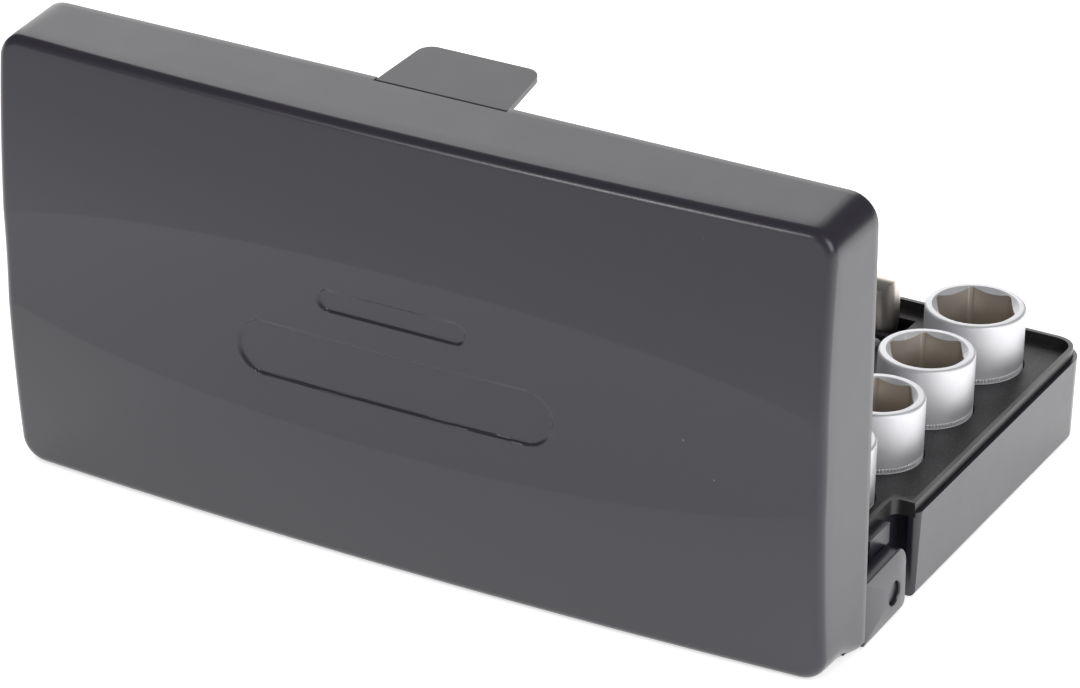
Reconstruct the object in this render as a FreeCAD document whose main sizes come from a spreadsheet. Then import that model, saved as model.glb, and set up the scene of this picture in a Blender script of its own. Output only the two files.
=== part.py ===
"""Hinged-lid case of a quarter-inch-drive socket set, with every tool that it holds.

Frame: the origin lies at the middle of the tray's underside, +Z is up, the latch side
faces -Y and the hinge runs along X at the +Y side.  Case pieces are modelled closed; the
lid and its latch are then turned open about the hinge, until the lid's back wall lies on
the surface that carries the tray.  Tools lie in their pockets.  All sizes are millimetres.
"""
import FreeCAD
import Part
import Sketcher
import math
import os
import re
from FreeCAD import Placement, Rotation, Vector

# name, size, what it is
SIZES = [
    ("case_length", 170.0, "outside of the tray along the hinge"),
    ("case_depth", 90.0, "outside of the tray from hinge side to latch side"),
    ("corner_radius", 5.5, "plan radius of the four case corners"),
    ("tray_height", 17.2, "underside of the tray to its ledge"),
    ("tray_draft", 1.0, "draft angle of the tray's walls"),
    ("tray_edge", 1.0, "round along the tray's lower edge"),
    ("shell_wall", 1.8, "wall of tray and lid"),
    ("tray_floor", 2.0, "floor of the tray"),
    ("ledge_width", 0.9, "ledge that the lid's rim stands over"),
    ("flange_thickness", 1.0, "insert's flange, which lies in a rebate of the tray's walls"),
    ("flange_gap", 0.1, "clearance around the flange in its rebate"),
    ("lip_height", 2.0, "insert's lip above the ledge, inside the lid's rim"),
    ("lip_width", 0.9, "insert's lip"),
    ("rim_gap", 0.3, "clearance between the lid's rim and the ledge and lip"),
    ("lid_height", 15.5, "lid rim to face, at the corners"),
    ("lid_draft", 2.0, "draft angle of the lid's walls, which is also its lean when open"),
    ("lid_edge", 2.0, "round between the lid's walls and face"),
    ("crown_long", 2.6, "rise of the lid's face along its length"),
    ("crown_short", 2.8, "rise of the lid's face across its depth"),
    ("band_half_width", 18.1, "half width of the hollow band across the face, mid-length"),
    ("band_end_half_width", 8.4, "half width of the hollow band at the case's ends"),
    ("band_depth", 1.2, "depth of the hollow band under the crown, mid-length"),
    ("roof_inset", 2.9, "lid's inside below its crown"),
    ("plate_depth", 0.5, "depth of the two blank plate recesses in the lid's face"),
    ("plate_length", 65.0, "large blank plate recess, end to end"),
    ("plate_width", 11.0, "large blank plate recess, across"),
    ("small_plate_length", 30.5, "small blank plate recess, end to end"),
    ("small_plate_width", 4.6, "small blank plate recess, across"),
    ("plate_offset", 3.9, "large recess towards the hinge from the lid's middle"),
    ("small_plate_offset", 13.2, "small recess towards the latch from the large one"),
    ("hinge_inset", 5.0, "hinge axis in from the case's back"),
    ("arm_thickness", 3.0, "lid's hinge arm"),
    ("arm_back", 4.9, "hinge arm behind and below the hinge axis"),
    ("arm_front", 8.4, "hinge arm in front of the hinge axis"),
    ("arm_front_round", 4.3, "round of the hinge arm's lower front corner"),
    ("arm_back_round", 1.5, "round of the hinge arm's lower back corner"),
    ("arm_gap", 0.3, "clearance between the hinge arm and the stud's collar"),
    ("arm_root", 7.0, "height of the arm's root up inside the lid"),
    ("stud_radius", 2.2, "hinge stud on the tray"),
    ("stud_fit", 0.08, "radial clearance of the stud in the arm's bore"),
    ("stud_recess", 0.7, "stud's end below the arm's outer face"),
    ("collar_radius", 3.8, "collar on the stud's root, beside the arm"),
    ("notch_length", 14.1, "hinge notch in from the case's back"),
    ("notch_depth", 5.25, "hinge notch in from the case's end"),
    ("notch_corner", 1.8, "round of the lip's inner corner at the notch"),
    ("notch_pocket", 2.6, "notch behind the end of the side wall, under the flange"),
    ("side_end", 2.1, "side wall where it ends at the notch"),
    ("notch_round", 1.5, "upright round where the side walls end at the notches"),
    ("web_back", 0.5, "web across the notch, in from the case's back"),
    ("web_depth", 8.3, "web across the notch, back to front"),
    ("web_level", 13.2, "underside of the web across the notch"),
    ("latch_width", 26.7, "latch flap at its root"),
    ("latch_tip_width", 23.9, "latch flap at its tip"),
    ("latch_reach", 14.4, "latch flap below the lid's rim"),
    ("latch_thickness", 1.1, "latch flap"),
    ("latch_corner", 3.0, "round of the flap's two tip corners"),
    ("latch_gap", 0.12, "clearance around the latch flap and its barrel"),
    ("latch_rest", 3.5, "angle that the unlocked flap stands off the lid's wall"),
    ("barrel_radius", 0.65, "latch flap's root barrel"),
    ("trunnion_radius", 0.4, "pivot stubs at the barrel's ends"),
    ("trunnion_fit", 0.05, "radial clearance of the pivot stubs"),
    ("trunnion_length", 1.2, "pivot stubs"),
    ("barrel_drop", 0.8, "barrel axis above the lid's rim"),
    ("latch_boss", 2.2, "thick part of the lid's front wall that carries the latch"),
    ("boss_inset", 0.25, "latch boss behind the lid's outer face"),
    ("catch_height", 0.45, "catch rib that the flap's groove snaps over"),
    ("catch_length", 10.0, "catch rib"),
    ("catch_level", 6.0, "catch rib above the underside"),
    ("recess_wall", 1.1, "tray wall behind the flap"),
    ("insert_gap", 0.3, "clearance between the insert and the tray"),
    ("pocket_floor", 4.1, "socket pocket floors above the underside"),
    ("pocket_gap", 0.3, "clearance of each tool in its pocket"),
    ("socket_height", 25.0, "sockets and the bit adapter"),
    ("socket_wall", 2.65, "wall of a socket over its hexagon's flats"),
    ("drive_end_radius", 5.95, "smallest outside radius at a socket's drive end"),
    ("nose_height", 12.0, "slim nose of the small sockets"),
    ("hexagon_fit", 0.2, "hexagon's flats over the nominal size"),
    ("hexagon_depth", 11.0, "depth of a socket's hexagon"),
    ("drive_square", 6.35, "nominal square of the drive"),
    ("square_fit", 0.1, "female square over the male square"),
    ("square_depth", 8.0, "depth of the female square"),
    ("through_radius", 3.0, "bore between a socket's square and hexagon"),
    ("lead_in", 0.8, "depth of a hexagon's lead-in cone at its flats"),
    ("square_round", 0.5, "rounds of the male squares' long edges"),
    ("socket_round", 0.6, "round at a socket's rims"),
    ("column_inset", 17.0, "large sockets' column in from the case's end"),
    ("column_front_gap", 3.95, "space between the tray's wall and the largest socket"),
    ("column_gap", 3.0, "space between neighbouring large sockets"),
    ("column_back_gap", 2.25, "space between the tray's wall and the last large socket"),
    ("row_gap", 2.4, "space between neighbouring small sockets"),
    ("row_end_gap", 1.5, "space between the smallest socket and the tray's notch wall"),
    ("ball_radius", 1.2, "detent balls"),
    ("ball_out", 0.45, "how far a detent ball stands out"),
    ("ball_fit", 0.03, "radial clearance of a detent ball in its seat"),
    ("ball_place", 4.3, "detent ball's middle from the root of its male square"),
    ("ratchet_end_gap", 9.25, "space between the largest socket and the ratchet's grip"),
    ("ratchet_head_gap", 12.3, "space between the ratchet's head and the tray's wall"),
    ("ratchet_length", 120.0, "ratchet, end of grip to end of head"),
    ("ratchet_slack", 2.5, "free length of the ratchet's pocket at the grip's end"),
    ("ratchet_front", 9.4, "ratchet's middle plane in from the case's front"),
    ("ratchet_level", 19.8, "ratchet's axis above the underside"),
    ("head_radius", 11.2, "ratchet's head"),
    ("head_thickness", 9.0, "ratchet's head along the drive's axis"),
    ("head_floor", 1.4, "back wall of the head, behind the gear"),
    ("gear_radius", 7.4, "ratchet gear over its teeth"),
    ("tooth_depth", 0.7, "ratchet gear's teeth"),
    ("gear_gap", 0.1, "clearance around the gear and the pawl"),
    ("hub_radius", 5.0, "gear's hub, which turns in the cover plate"),
    ("hub_fit", 0.06, "radial clearance of the hub"),
    ("cover_thickness", 1.2, "cover plate on the head"),
    ("cover_radius", 10.0, "cover plate"),
    ("shank_width", 9.0, "ratchet's shank across"),
    ("shank_thickness", 4.6, "ratchet's shank through"),
    ("shank_start", 15.0, "shank's end inside the grip, from the grip's end"),
    ("grip_length", 76.0, "ratchet's grip, a flat sleeve on the shank"),
    ("grip_width", 15.0, "ratchet's grip across"),
    ("grip_thickness", 7.0, "ratchet's grip through"),
    ("grip_round", 2.6, "round of the grip's long edges and of its end"),
    ("grip_heel", 5.5, "round of the grip's lower end corner"),
    ("drive_length", 7.2, "male square"),
    ("lever_length", 14.0, "reversing lever, hub to tip"),
    ("lever_width", 4.0, "reversing lever's finger"),
    ("lever_thickness", 1.4, "reversing lever"),
    ("lever_round", 1.2, "round of the lever's tip"),
    ("lever_place", 3.2, "reversing lever's axis beyond the gear"),
    ("pawl_length", 4.8, "pawl along the ratchet"),
    ("pawl_width", 6.0, "pawl across the ratchet"),
    ("lever_hub_radius", 4.0, "reversing lever's hub"),
    ("lever_stem_radius", 1.5, "reversing lever's stem in the head"),
    ("lever_fit", 0.06, "radial clearance of the lever's stem"),
    ("screw_radius", 1.0, "cover screws"),
    ("screw_depth", 3.0, "cover screws under the cover plate"),
    ("bar_gap", 1.85, "space between the ratchet's grip and the long extension bar"),
    ("bar_level", 13.1, "extension bars' axis above the underside"),
    ("bar_end", 35.6, "long extension bar's end in from the case's end"),
    ("bar_head_radius", 5.75, "extension bar's female end"),
    ("bar_head_length", 16.0, "extension bar's female end"),
    ("bar_radius", 3.9, "extension bar's stem"),
    ("bar_tip_radius", 3.1, "extension bar's stem at its male square"),
    ("bar_tip_length", 2.0, "taper at the end of an extension bar's stem"),
    ("long_bar_length", 75.0, "long extension bar without its male square"),
    ("short_bar_length", 50.0, "short extension bar without its male square"),
    ("second_gap", 3.2, "space between the long bar and the short bar"),
    ("short_bar_end", 62.0, "short extension bar's end in from the case's end"),
    ("adapter_end", 41.0, "bit adapter's axis in from the case's end"),
    ("adapter_radius", 5.75, "bit adapter"),
    ("bit_flats", 6.35, "hexagon of the bit adapter"),
    ("spinner_gap", 4.05, "space between the short bar and the spinner handle"),
    ("back_row_gap", 4.15, "space between the spinner handle and the small sockets"),
    ("spinner_level", 15.5, "spinner handle's axis above the underside"),
    ("spinner_tip_gap", 8.35, "space between the large sockets and the spinner's tip"),
    ("spinner_end_gap", 13.0, "space between the spinner handle and the tray's wall"),
    ("spinner_radius", 10.5, "spinner handle"),
    ("spinner_grip_length", 70.0, "spinner handle without its blade"),
    ("spinner_neck_radius", 7.0, "spinner handle's neck"),
    ("spinner_neck_length", 12.0, "spinner handle's neck, and the flare behind it"),
    ("spinner_round", 3.5, "round of the spinner handle's end"),
    ("flute_radius", 4.2, "grooves along the spinner handle"),
    ("flute_depth", 1.3, "grooves along the spinner handle"),
    ("flute_length", 35.0, "grooves along the spinner handle"),
    ("flute_start", 26.6, "grooves along the spinner handle, from its neck's end"),
    ("blade_radius", 3.2, "spinner's steel blade"),
    ("blade_length", 44.0, "spinner's blade outside its handle"),
    ("blade_root", 30.0, "spinner's blade inside its handle"),
    ("scoop_radius", 15.0, "finger scoop across the insert"),
    ("scoop_depth", 9.0, "finger scoop across the insert"),
    ("scoop_place", 112.0, "finger scoop's axis in from the case's end"),
    ("scoop_start", 6.0, "finger scoop's near end in from the case's front"),
    ("scoop_gap", 2.15, "space between the finger scoop and the small sockets"),
    ("square_side_gap", 1.5, "space beside a drive square in its pocket"),
]
LARGE_SOCKETS = (14, 13, 12, 11)
SMALL_SOCKETS = (10, 9, 8, 7, 6, 5.5, 5, 4.5, 4)
GEAR_TEETH = 36
SPINNER_FLUTES = 6
SCREW_ANGLES = (60, -60, 0)

doc = FreeCAD.newDocument("socket_set_case")
sheet = doc.addObject("Spreadsheet::Sheet", "Sizes")


def size_name(flats):
    """Node name of the socket with these nominal flats, such as socket_5_5."""
    return "socket_" + str(flats).replace(".", "_")


for row, (alias, value, note) in enumerate(
        SIZES + [(size_name(f) + "_flats", f, "nominal flats") for f in LARGE_SOCKETS + SMALL_SOCKETS], 1):
    sheet.set(f"A{row}", note)
    sheet.set(f"B{row}", str(value))
    sheet.setAlias(f"B{row}", alias)
doc.recompute()
ALIASES = {sheet.getAlias(f"B{r}") for r in range(1, row + 1)}


def expand(text):
    """Write the sheet's name before each size name of an expression."""
    return re.sub(r"[A-Za-z_]\w*", lambda m: "Sizes." + m[0] if m[0] in ALIASES else m[0], str(text))


def size(text):
    """The number, in millimetres or degrees, that an expression of size names has now."""
    return float(sheet.evalExpression(expand(text)))


def outer_radius(flats):
    """Largest outside radius of a socket, as an expression."""
    own = f"({size_name(flats)}_flats / 2 + socket_wall)"
    return own if size(own) > size("drive_end_radius") else "drive_end_radius"


def share_out(alias, room, lengths, gaps):
    """Name the factor, 1 at the drawn sizes, that scales the gaps of a row until it fills its room."""
    global row
    row += 1
    things, spaces = " + ".join(lengths), " + ".join(gaps)
    sheet.set(f"A{row}", "factor of " + spaces)
    sheet.set(f"B{row}", f"=(({room}) - ({things})) / ({spaces})")
    sheet.setAlias(f"B{row}", alias)
    doc.recompute()
    ALIASES.add(alias)


ALONG = {
    "z": Rotation(),
    "x": Rotation(Vector(0, 1, 0), 90),
    "y": Rotation(Vector(1, 0, 0), -90),
}


def make(kind, name, at, along="z", **sizes):
    """A Part primitive whose sizes and place are expressions of size names."""
    piece = doc.addObject("Part::" + kind, name)
    for prop, text in sizes.items():
        piece.setExpression(prop, expand(text))
    piece.Placement = Placement(Vector(), ALONG[along])
    for axis, text in zip("xyz", at):
        piece.setExpression("Placement.Base." + axis, expand(text))
    return piece


def box(name, low, span):
    """A box from its lowest corner and its three spans."""
    return make("Box", name, low, Length=span[0], Width=span[1], Height=span[2])


def rod(name, radius, length, at, along="z"):
    """A cylinder that starts at a point and runs along an axis."""
    return make("Cylinder", name, at, along, Radius=radius, Height=length)


def taper(name, radius, far_radius, length, at, along="z"):
    """A cone frustum that starts at a point and runs along an axis."""
    return make("Cone", name, at, along, Radius1=radius, Radius2=far_radius, Height=length)


def ball(name, radius, at):
    """A sphere about a point."""
    return make("Sphere", name, at, Radius=radius)


def fuse(name, *pieces):
    """All the pieces joined into one."""
    joined = doc.addObject("Part::MultiFuse", name)
    joined.Shapes = list(pieces)
    joined.Refine = True
    return joined


def cut(name, base, *tools):
    """The base less its tools."""
    result = doc.addObject("Part::Cut", name)
    result.Base = base
    result.Tool = tools[0] if len(tools) == 1 else fuse(name + "_tools", *tools)
    return result


def common(name, first, second):
    """What two pieces share."""
    result = doc.addObject("Part::Common", name)
    result.Base, result.Tool = first, second
    return result


def rounded(name, base, radius, chosen):
    """Round the base's edges that a test of each edge's bounding box chooses."""
    doc.recompute()
    result = doc.addObject("Part::Fillet", name)
    result.Base = base
    reach = size(radius)
    result.Edges = [(i, reach, reach) for i, edge in enumerate(base.Shape.Edges, 1) if chosen(edge.BoundBox)]
    return result


def near(first, second):
    """Whether two lengths are the same to a thousandth."""
    return abs(first - second) < 0.001


def origin_plane(body, role):
    """One of a body's own base planes."""
    return next(feature for feature in body.Origin.OriginFeatures if feature.Role == role)


def slab(name, length, width, radius, level, height, draft="0", centre="0"):
    """A body with one pad of a rounded rectangle about the Z axis, tapering with a draft angle.

    A negative height pads downwards.  The centre is the outline's place along Y.
    """
    body = doc.addObject("PartDesign::Body", name)
    sketch = body.newObject("Sketcher::SketchObject", name + "_outline")
    sketch.AttachmentSupport = [(origin_plane(body, "XY_Plane"), "")]
    sketch.MapMode = "FlatFace"
    sketch.setExpression("AttachmentOffset.Base.y", expand(centre))
    sketch.setExpression("AttachmentOffset.Base.z", expand(level))
    half_x, half_y, r = size(length) / 2, size(width) / 2, size(radius)
    in_x, in_y = half_x - r, half_y - r
    sketch.addGeometry([
        Part.LineSegment(Vector(-in_x, -half_y), Vector(in_x, -half_y)),
        Part.LineSegment(Vector(half_x, -in_y), Vector(half_x, in_y)),
        Part.LineSegment(Vector(in_x, half_y), Vector(-in_x, half_y)),
        Part.LineSegment(Vector(-half_x, in_y), Vector(-half_x, -in_y)),
    ], False)
    corners = ((in_x, -in_y, -90), (in_x, in_y, 0), (-in_x, in_y, 90), (-in_x, -in_y, 180))
    for x, y, start in corners:
        circle = Part.Circle(Vector(x, y), Vector(0, 0, 1), r)
        sketch.addGeometry(Part.ArcOfCircle(circle, math.radians(start), math.radians(start + 90)), False)
    rules = [Sketcher.Constraint("Horizontal", side) for side in (0, 2)]
    rules += [Sketcher.Constraint("Vertical", side) for side in (1, 3)]
    for side in range(4):
        arc = side + 4
        rules.append(Sketcher.Constraint("Tangent", side, 2, arc, 1))
        rules.append(Sketcher.Constraint("Tangent", arc, 2, (side + 1) % 4, 1))
    rules += [Sketcher.Constraint("Equal", 4, arc) for arc in (5, 6)]
    rules.append(Sketcher.Constraint("Symmetric", 0, 1, 2, 1, -1, 1))
    sketch.addConstraint(rules)
    driven = (
        ("reach", Sketcher.Constraint("DistanceX", 3, 1, 1, 1, 2 * half_x), length),
        ("span", Sketcher.Constraint("DistanceY", 0, 1, 2, 1, 2 * half_y), width),
        ("round", Sketcher.Constraint("Radius", 4, r), radius),
    )
    for rule_name, rule, text in driven:
        sketch.renameConstraint(sketch.addConstraint(rule), rule_name)
        sketch.setExpression("Constraints." + rule_name, expand(text))
    pad = body.newObject("PartDesign::Pad", name + "_pad")
    pad.Profile = sketch
    pad.Reversed = size(height) < 0
    pad.setExpression("Length", expand(f"abs({height})"))
    pad.setExpression("TaperAngle", expand(f"-({draft})"))
    return body


# ---- places that several pieces share ----------------------------------------------------
BACK = "case_depth / 2"
FRONT = "(-case_depth / 2)"
END = "case_length / 2"
RIM = "(tray_height + rim_gap)"
HINGE_Y = "(case_depth / 2 - hinge_inset)"
# The height at which the open lid's back wall, leaning by its own draft, lies at level 0.
HINGE_Z = "((hinge_inset * cos(lid_draft) + (tray_height + rim_gap) * sin(lid_draft)) / (1 + sin(lid_draft)))"
LATCH_SLOT = "(latch_width + 2 * latch_gap)"
RECESS_DEPTH = "(latch_thickness + 2 * latch_gap)"
DRIVE_HALF = "(drive_square / 2)"
FLANGE_FOOT = "(tray_height - flange_thickness)"

# Each row of tools just fills its room in the tray.
COLUMN_X = f"(-{END} + column_inset)"
INNER_END = f"({END} - shell_wall)"
share_out("column_spread", "case_depth - 2 * shell_wall", [f"2 * {outer_radius(f)}" for f in LARGE_SOCKETS],
          ["column_front_gap", f"{len(LARGE_SOCKETS) - 1} * column_gap", "column_back_gap"])
share_out("row_spread", f"{INNER_END} - notch_depth - ({COLUMN_X} + {outer_radius(LARGE_SOCKETS[-1])})",
          [f"2 * {outer_radius(f)}" for f in SMALL_SOCKETS], [f"{len(SMALL_SOCKETS)} * row_gap", "row_end_gap"])
ROW_Y = f"({BACK} - shell_wall - column_back_gap * column_spread - {outer_radius(LARGE_SOCKETS[-1])})"
RATCHET_Y = f"({FRONT} + ratchet_front)"
share_out("rows_spread", f"{ROW_Y} - {outer_radius(SMALL_SOCKETS[0])} - ({RATCHET_Y} + grip_thickness / 2)",
          ["4 * bar_head_radius", "2 * spinner_radius"], ["bar_gap", "second_gap", "spinner_gap", "back_row_gap"])
BAR_Y = f"({RATCHET_Y} + grip_thickness / 2 + bar_gap * rows_spread + bar_head_radius)"
SECOND_Y = f"({BAR_Y} + 2 * bar_head_radius + second_gap * rows_spread)"
SPINNER_Y = f"({SECOND_Y} + bar_head_radius + spinner_gap * rows_spread + spinner_radius)"
LONG_BAR_X = f"(-{END} + bar_end)"
SHORT_BAR_X = f"(-{END} + short_bar_end)"
ADAPTER_X = f"(-{END} + adapter_end)"
share_out("ratchet_spread", f"{INNER_END} - ({COLUMN_X} + {outer_radius(LARGE_SOCKETS[0])})",
          ["ratchet_length"], ["ratchet_end_gap", "ratchet_head_gap"])
GRIP_X = f"({COLUMN_X} + {outer_radius(LARGE_SOCKETS[0])} + ratchet_end_gap * ratchet_spread)"
share_out("spinner_spread", f"{INNER_END} - ({COLUMN_X} + {outer_radius(LARGE_SOCKETS[1])})",
          ["drive_length", "blade_length", "spinner_grip_length"], ["spinner_tip_gap", "spinner_end_gap"])
SPINNER_TIP_X = f"({COLUMN_X} + {outer_radius(LARGE_SOCKETS[1])} + spinner_tip_gap * spinner_spread)"
SPINNER_HANDLE_X = f"({SPINNER_TIP_X} + drive_length + blade_length)"


# ---- tray --------------------------------------------------------------------------------
def inner_block(name, gap, level, height):
    """The tray's inside, less a gap, narrower beside the hinge notches."""
    wide_back = f"{BACK} - notch_length - notch_pocket - shell_wall - ({gap})"
    wide = slab(name + "_wide", f"case_length - 2 * (shell_wall + {gap})",
                f"{wide_back} - ({FRONT} + shell_wall + {gap})", f"corner_radius - shell_wall - ({gap})",
                level, height, centre=f"({wide_back} + ({FRONT} + shell_wall + {gap})) / 2")
    narrow_half = f"({END} - notch_depth - shell_wall - ({gap}))"
    narrow = slab(name + "_narrow", f"2 * {narrow_half}", f"case_depth - 2 * (shell_wall + {gap})",
                  f"corner_radius - shell_wall - ({gap})", level, height)
    return fuse(name, wide, narrow)


def rim_block(name, inset, level, height):
    """What lies within an inset from the case's outline and from its hinge notches."""
    outline = slab(name + "_outline", f"case_length - 2 * ({inset})", f"case_depth - 2 * ({inset})",
                   f"corner_radius - ({inset})", level, height)
    notches = []
    extra = f"({inset} - ledge_width)"
    for side, low in (("left", f"-({END}) - 1"), ("right", f"{END} - notch_depth - {extra}")):
        block = box(f"{name}_{side}_notch", (low, f"{BACK} - notch_length - {extra}", f"{level} - 1"),
                    (f"notch_depth + {extra} + 1", "notch_length + 2", f"{height} + 2"))
        inner_x, inner_y = size(f"{END} - notch_depth - {extra}"), size(f"{BACK} - notch_length - {extra}")
        notches.append(rounded(f"{name}_{side}_notch_soft", block, f"notch_corner + {extra}",
                               lambda b: is_along(b, "z") and near(abs(b.XMin), inner_x) and near(b.YMin, inner_y)))
    return cut(name, outline, *notches)


def build_tray():
    """The tray: drafted walls with a notch and a web at each back corner, and the hinge studs."""
    walls = slab("tray_walls", "case_length", "case_depth", "corner_radius", "tray_height", "-tray_height",
                 draft="tray_draft")
    outside = rounded("tray_outside", walls, "tray_edge", lambda b: near(b.ZMax, 0))
    inside = inner_block("tray_inside", "0", "tray_floor", "tray_height - tray_floor + 1")
    rebate = slab("tray_rebate", "case_length - 2 * (ledge_width - flange_gap)",
                  "case_depth - 2 * (ledge_width - flange_gap)", "corner_radius - (ledge_width - flange_gap)",
                  FLANGE_FOOT, "flange_thickness + 1")
    recess_back = f"({FRONT} + {RECESS_DEPTH} + recess_wall)"
    half_slot = f"({LATCH_SLOT} / 2)"
    jog = box("tray_latch_wall", (f"-({half_slot} + recess_wall)", f"{FRONT} + shell_wall / 2", "tray_floor / 2"),
              (f"2 * ({half_slot} + recess_wall)", f"{recess_back} - ({FRONT}) - shell_wall / 2",
               "tray_height - tray_floor / 2"))
    hollow = cut("tray_hollow", outside, inside, rebate)
    removed = [wall_end_cutter("left", -1), wall_end_cutter("right", 1)]
    for side, low, inner in (("left", f"-({END}) - 1", f"side_end - {END}"),
                             ("right", f"{END} - notch_depth", f"{END} - notch_depth")):
        removed.append(box(f"tray_{side}_notch", (low, f"{BACK} - notch_length", "-1"),
                           ("notch_depth + 1", "notch_length + 1", "tray_height + 2")))
        removed.append(box(f"tray_{side}_notch_pocket", (inner, f"{BACK} - notch_length - notch_pocket", "-1"),
                           ("notch_depth - side_end", "notch_pocket + 1", "tray_height + 2")))
    removed.append(box("tray_latch_recess", (f"-{half_slot}", f"{FRONT} - 1", f"{RIM} - latch_reach - 1"),
                       (f"2 * {half_slot}", f"1 + {RECESS_DEPTH}", f"latch_reach + 2")))
    shell = cut("tray_cut", fuse("tray_filled", hollow, jog), *removed)
    studs = []
    for side, sign in (("left", -1), ("right", 1)):
        root = f"({END} - notch_depth - shell_wall / 2)"
        collar_end = f"({END} - arm_thickness - arm_gap)"
        stud_end = f"({END} - stud_recess)"
        for part, radius, end in (("collar", "collar_radius", collar_end), ("stud", "stud_radius", stud_end)):
            start = root if sign > 0 else f"-{end}"
            studs.append(rod(f"tray_{side}_{part}", radius, f"{end} - {root}", (start, HINGE_Y, HINGE_Z), "x"))
        notch_side = f"({END} - notch_depth)"
        web_start = notch_side if sign > 0 else f"-{collar_end}"
        web = box(f"tray_{side}_web", (web_start, f"{BACK} - web_back - web_depth", "web_level"),
                  (f"{collar_end} - {notch_side}", "web_depth", "tray_height - web_level"))
        studs.append(web)
    rib = rod("tray_catch", "catch_height", "catch_length",
              ("-catch_length / 2", f"{FRONT} + {RECESS_DEPTH}", "catch_level"), "x")
    return fuse("tray_shell", shell, rib, *studs)


def wall_end_cutter(side, sign):
    """What lies outside the upright round at a side wall's end: a corner block less a rod."""
    centre_y = f"({BACK} - notch_length - notch_round)"
    low = f"{END} - notch_round" if sign > 0 else f"-({END}) - 1"
    block = box(f"tray_{side}_end_block", (low, centre_y, "-1"),
                ("notch_round + 1", "notch_round + 0.5", "tray_height + lip_height + 2"))
    core = rod(f"tray_{side}_end_core", "notch_round", "tray_height + lip_height + 4",
               (f"{sign} * ({END} - notch_round)", centre_y, "-2"))
    return cut(f"tray_{side}_end_round", block, core)


# ---- lid, modelled closed ----------------------------------------------------------------
LONG_RADIUS = "(case_length * case_length / (8 * crown_long))"
SHORT_RADIUS = "(case_depth * case_depth / (8 * crown_short))"
TOP = f"({RIM} + lid_height + crown_long + crown_short)"


def crown(name, inset):
    """The outer half of a torus, which is the lid's crowned face or lies an inset below it."""
    return make("Torus", name, ("0", "0", f"{TOP} - {LONG_RADIUS}"), "y", Angle1="-90", Angle2="90",
                Radius1=f"{LONG_RADIUS} - {SHORT_RADIUS}", Radius2=f"{SHORT_RADIUS} - ({inset})")


def band():
    """A torus whose inner side hollows a band that is widest at mid-length out of the crown."""
    scoop = "(1 / (2 * band_depth / band_half_width^2 - 1 / " + SHORT_RADIUS + "))"
    end_depth = "(band_depth * band_end_half_width^2 / band_half_width^2)"
    inner = f"(case_length^2 / (8 * (crown_long - band_depth + {end_depth})))"
    return make("Torus", "lid_band", ("0", "0", f"{TOP} - band_depth - {inner}"), "y",
                Radius1=f"{inner} + {scoop}", Radius2=scoop)


def plate(name, length, width, y):
    """A recess with round ends for a blank plate, cut down from above the lid's face."""
    return slab(name, length, width, f"({width}) / 2 - 0.001", f"{TOP} - band_depth - plate_depth", "lid_height",
                centre=y)


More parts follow.
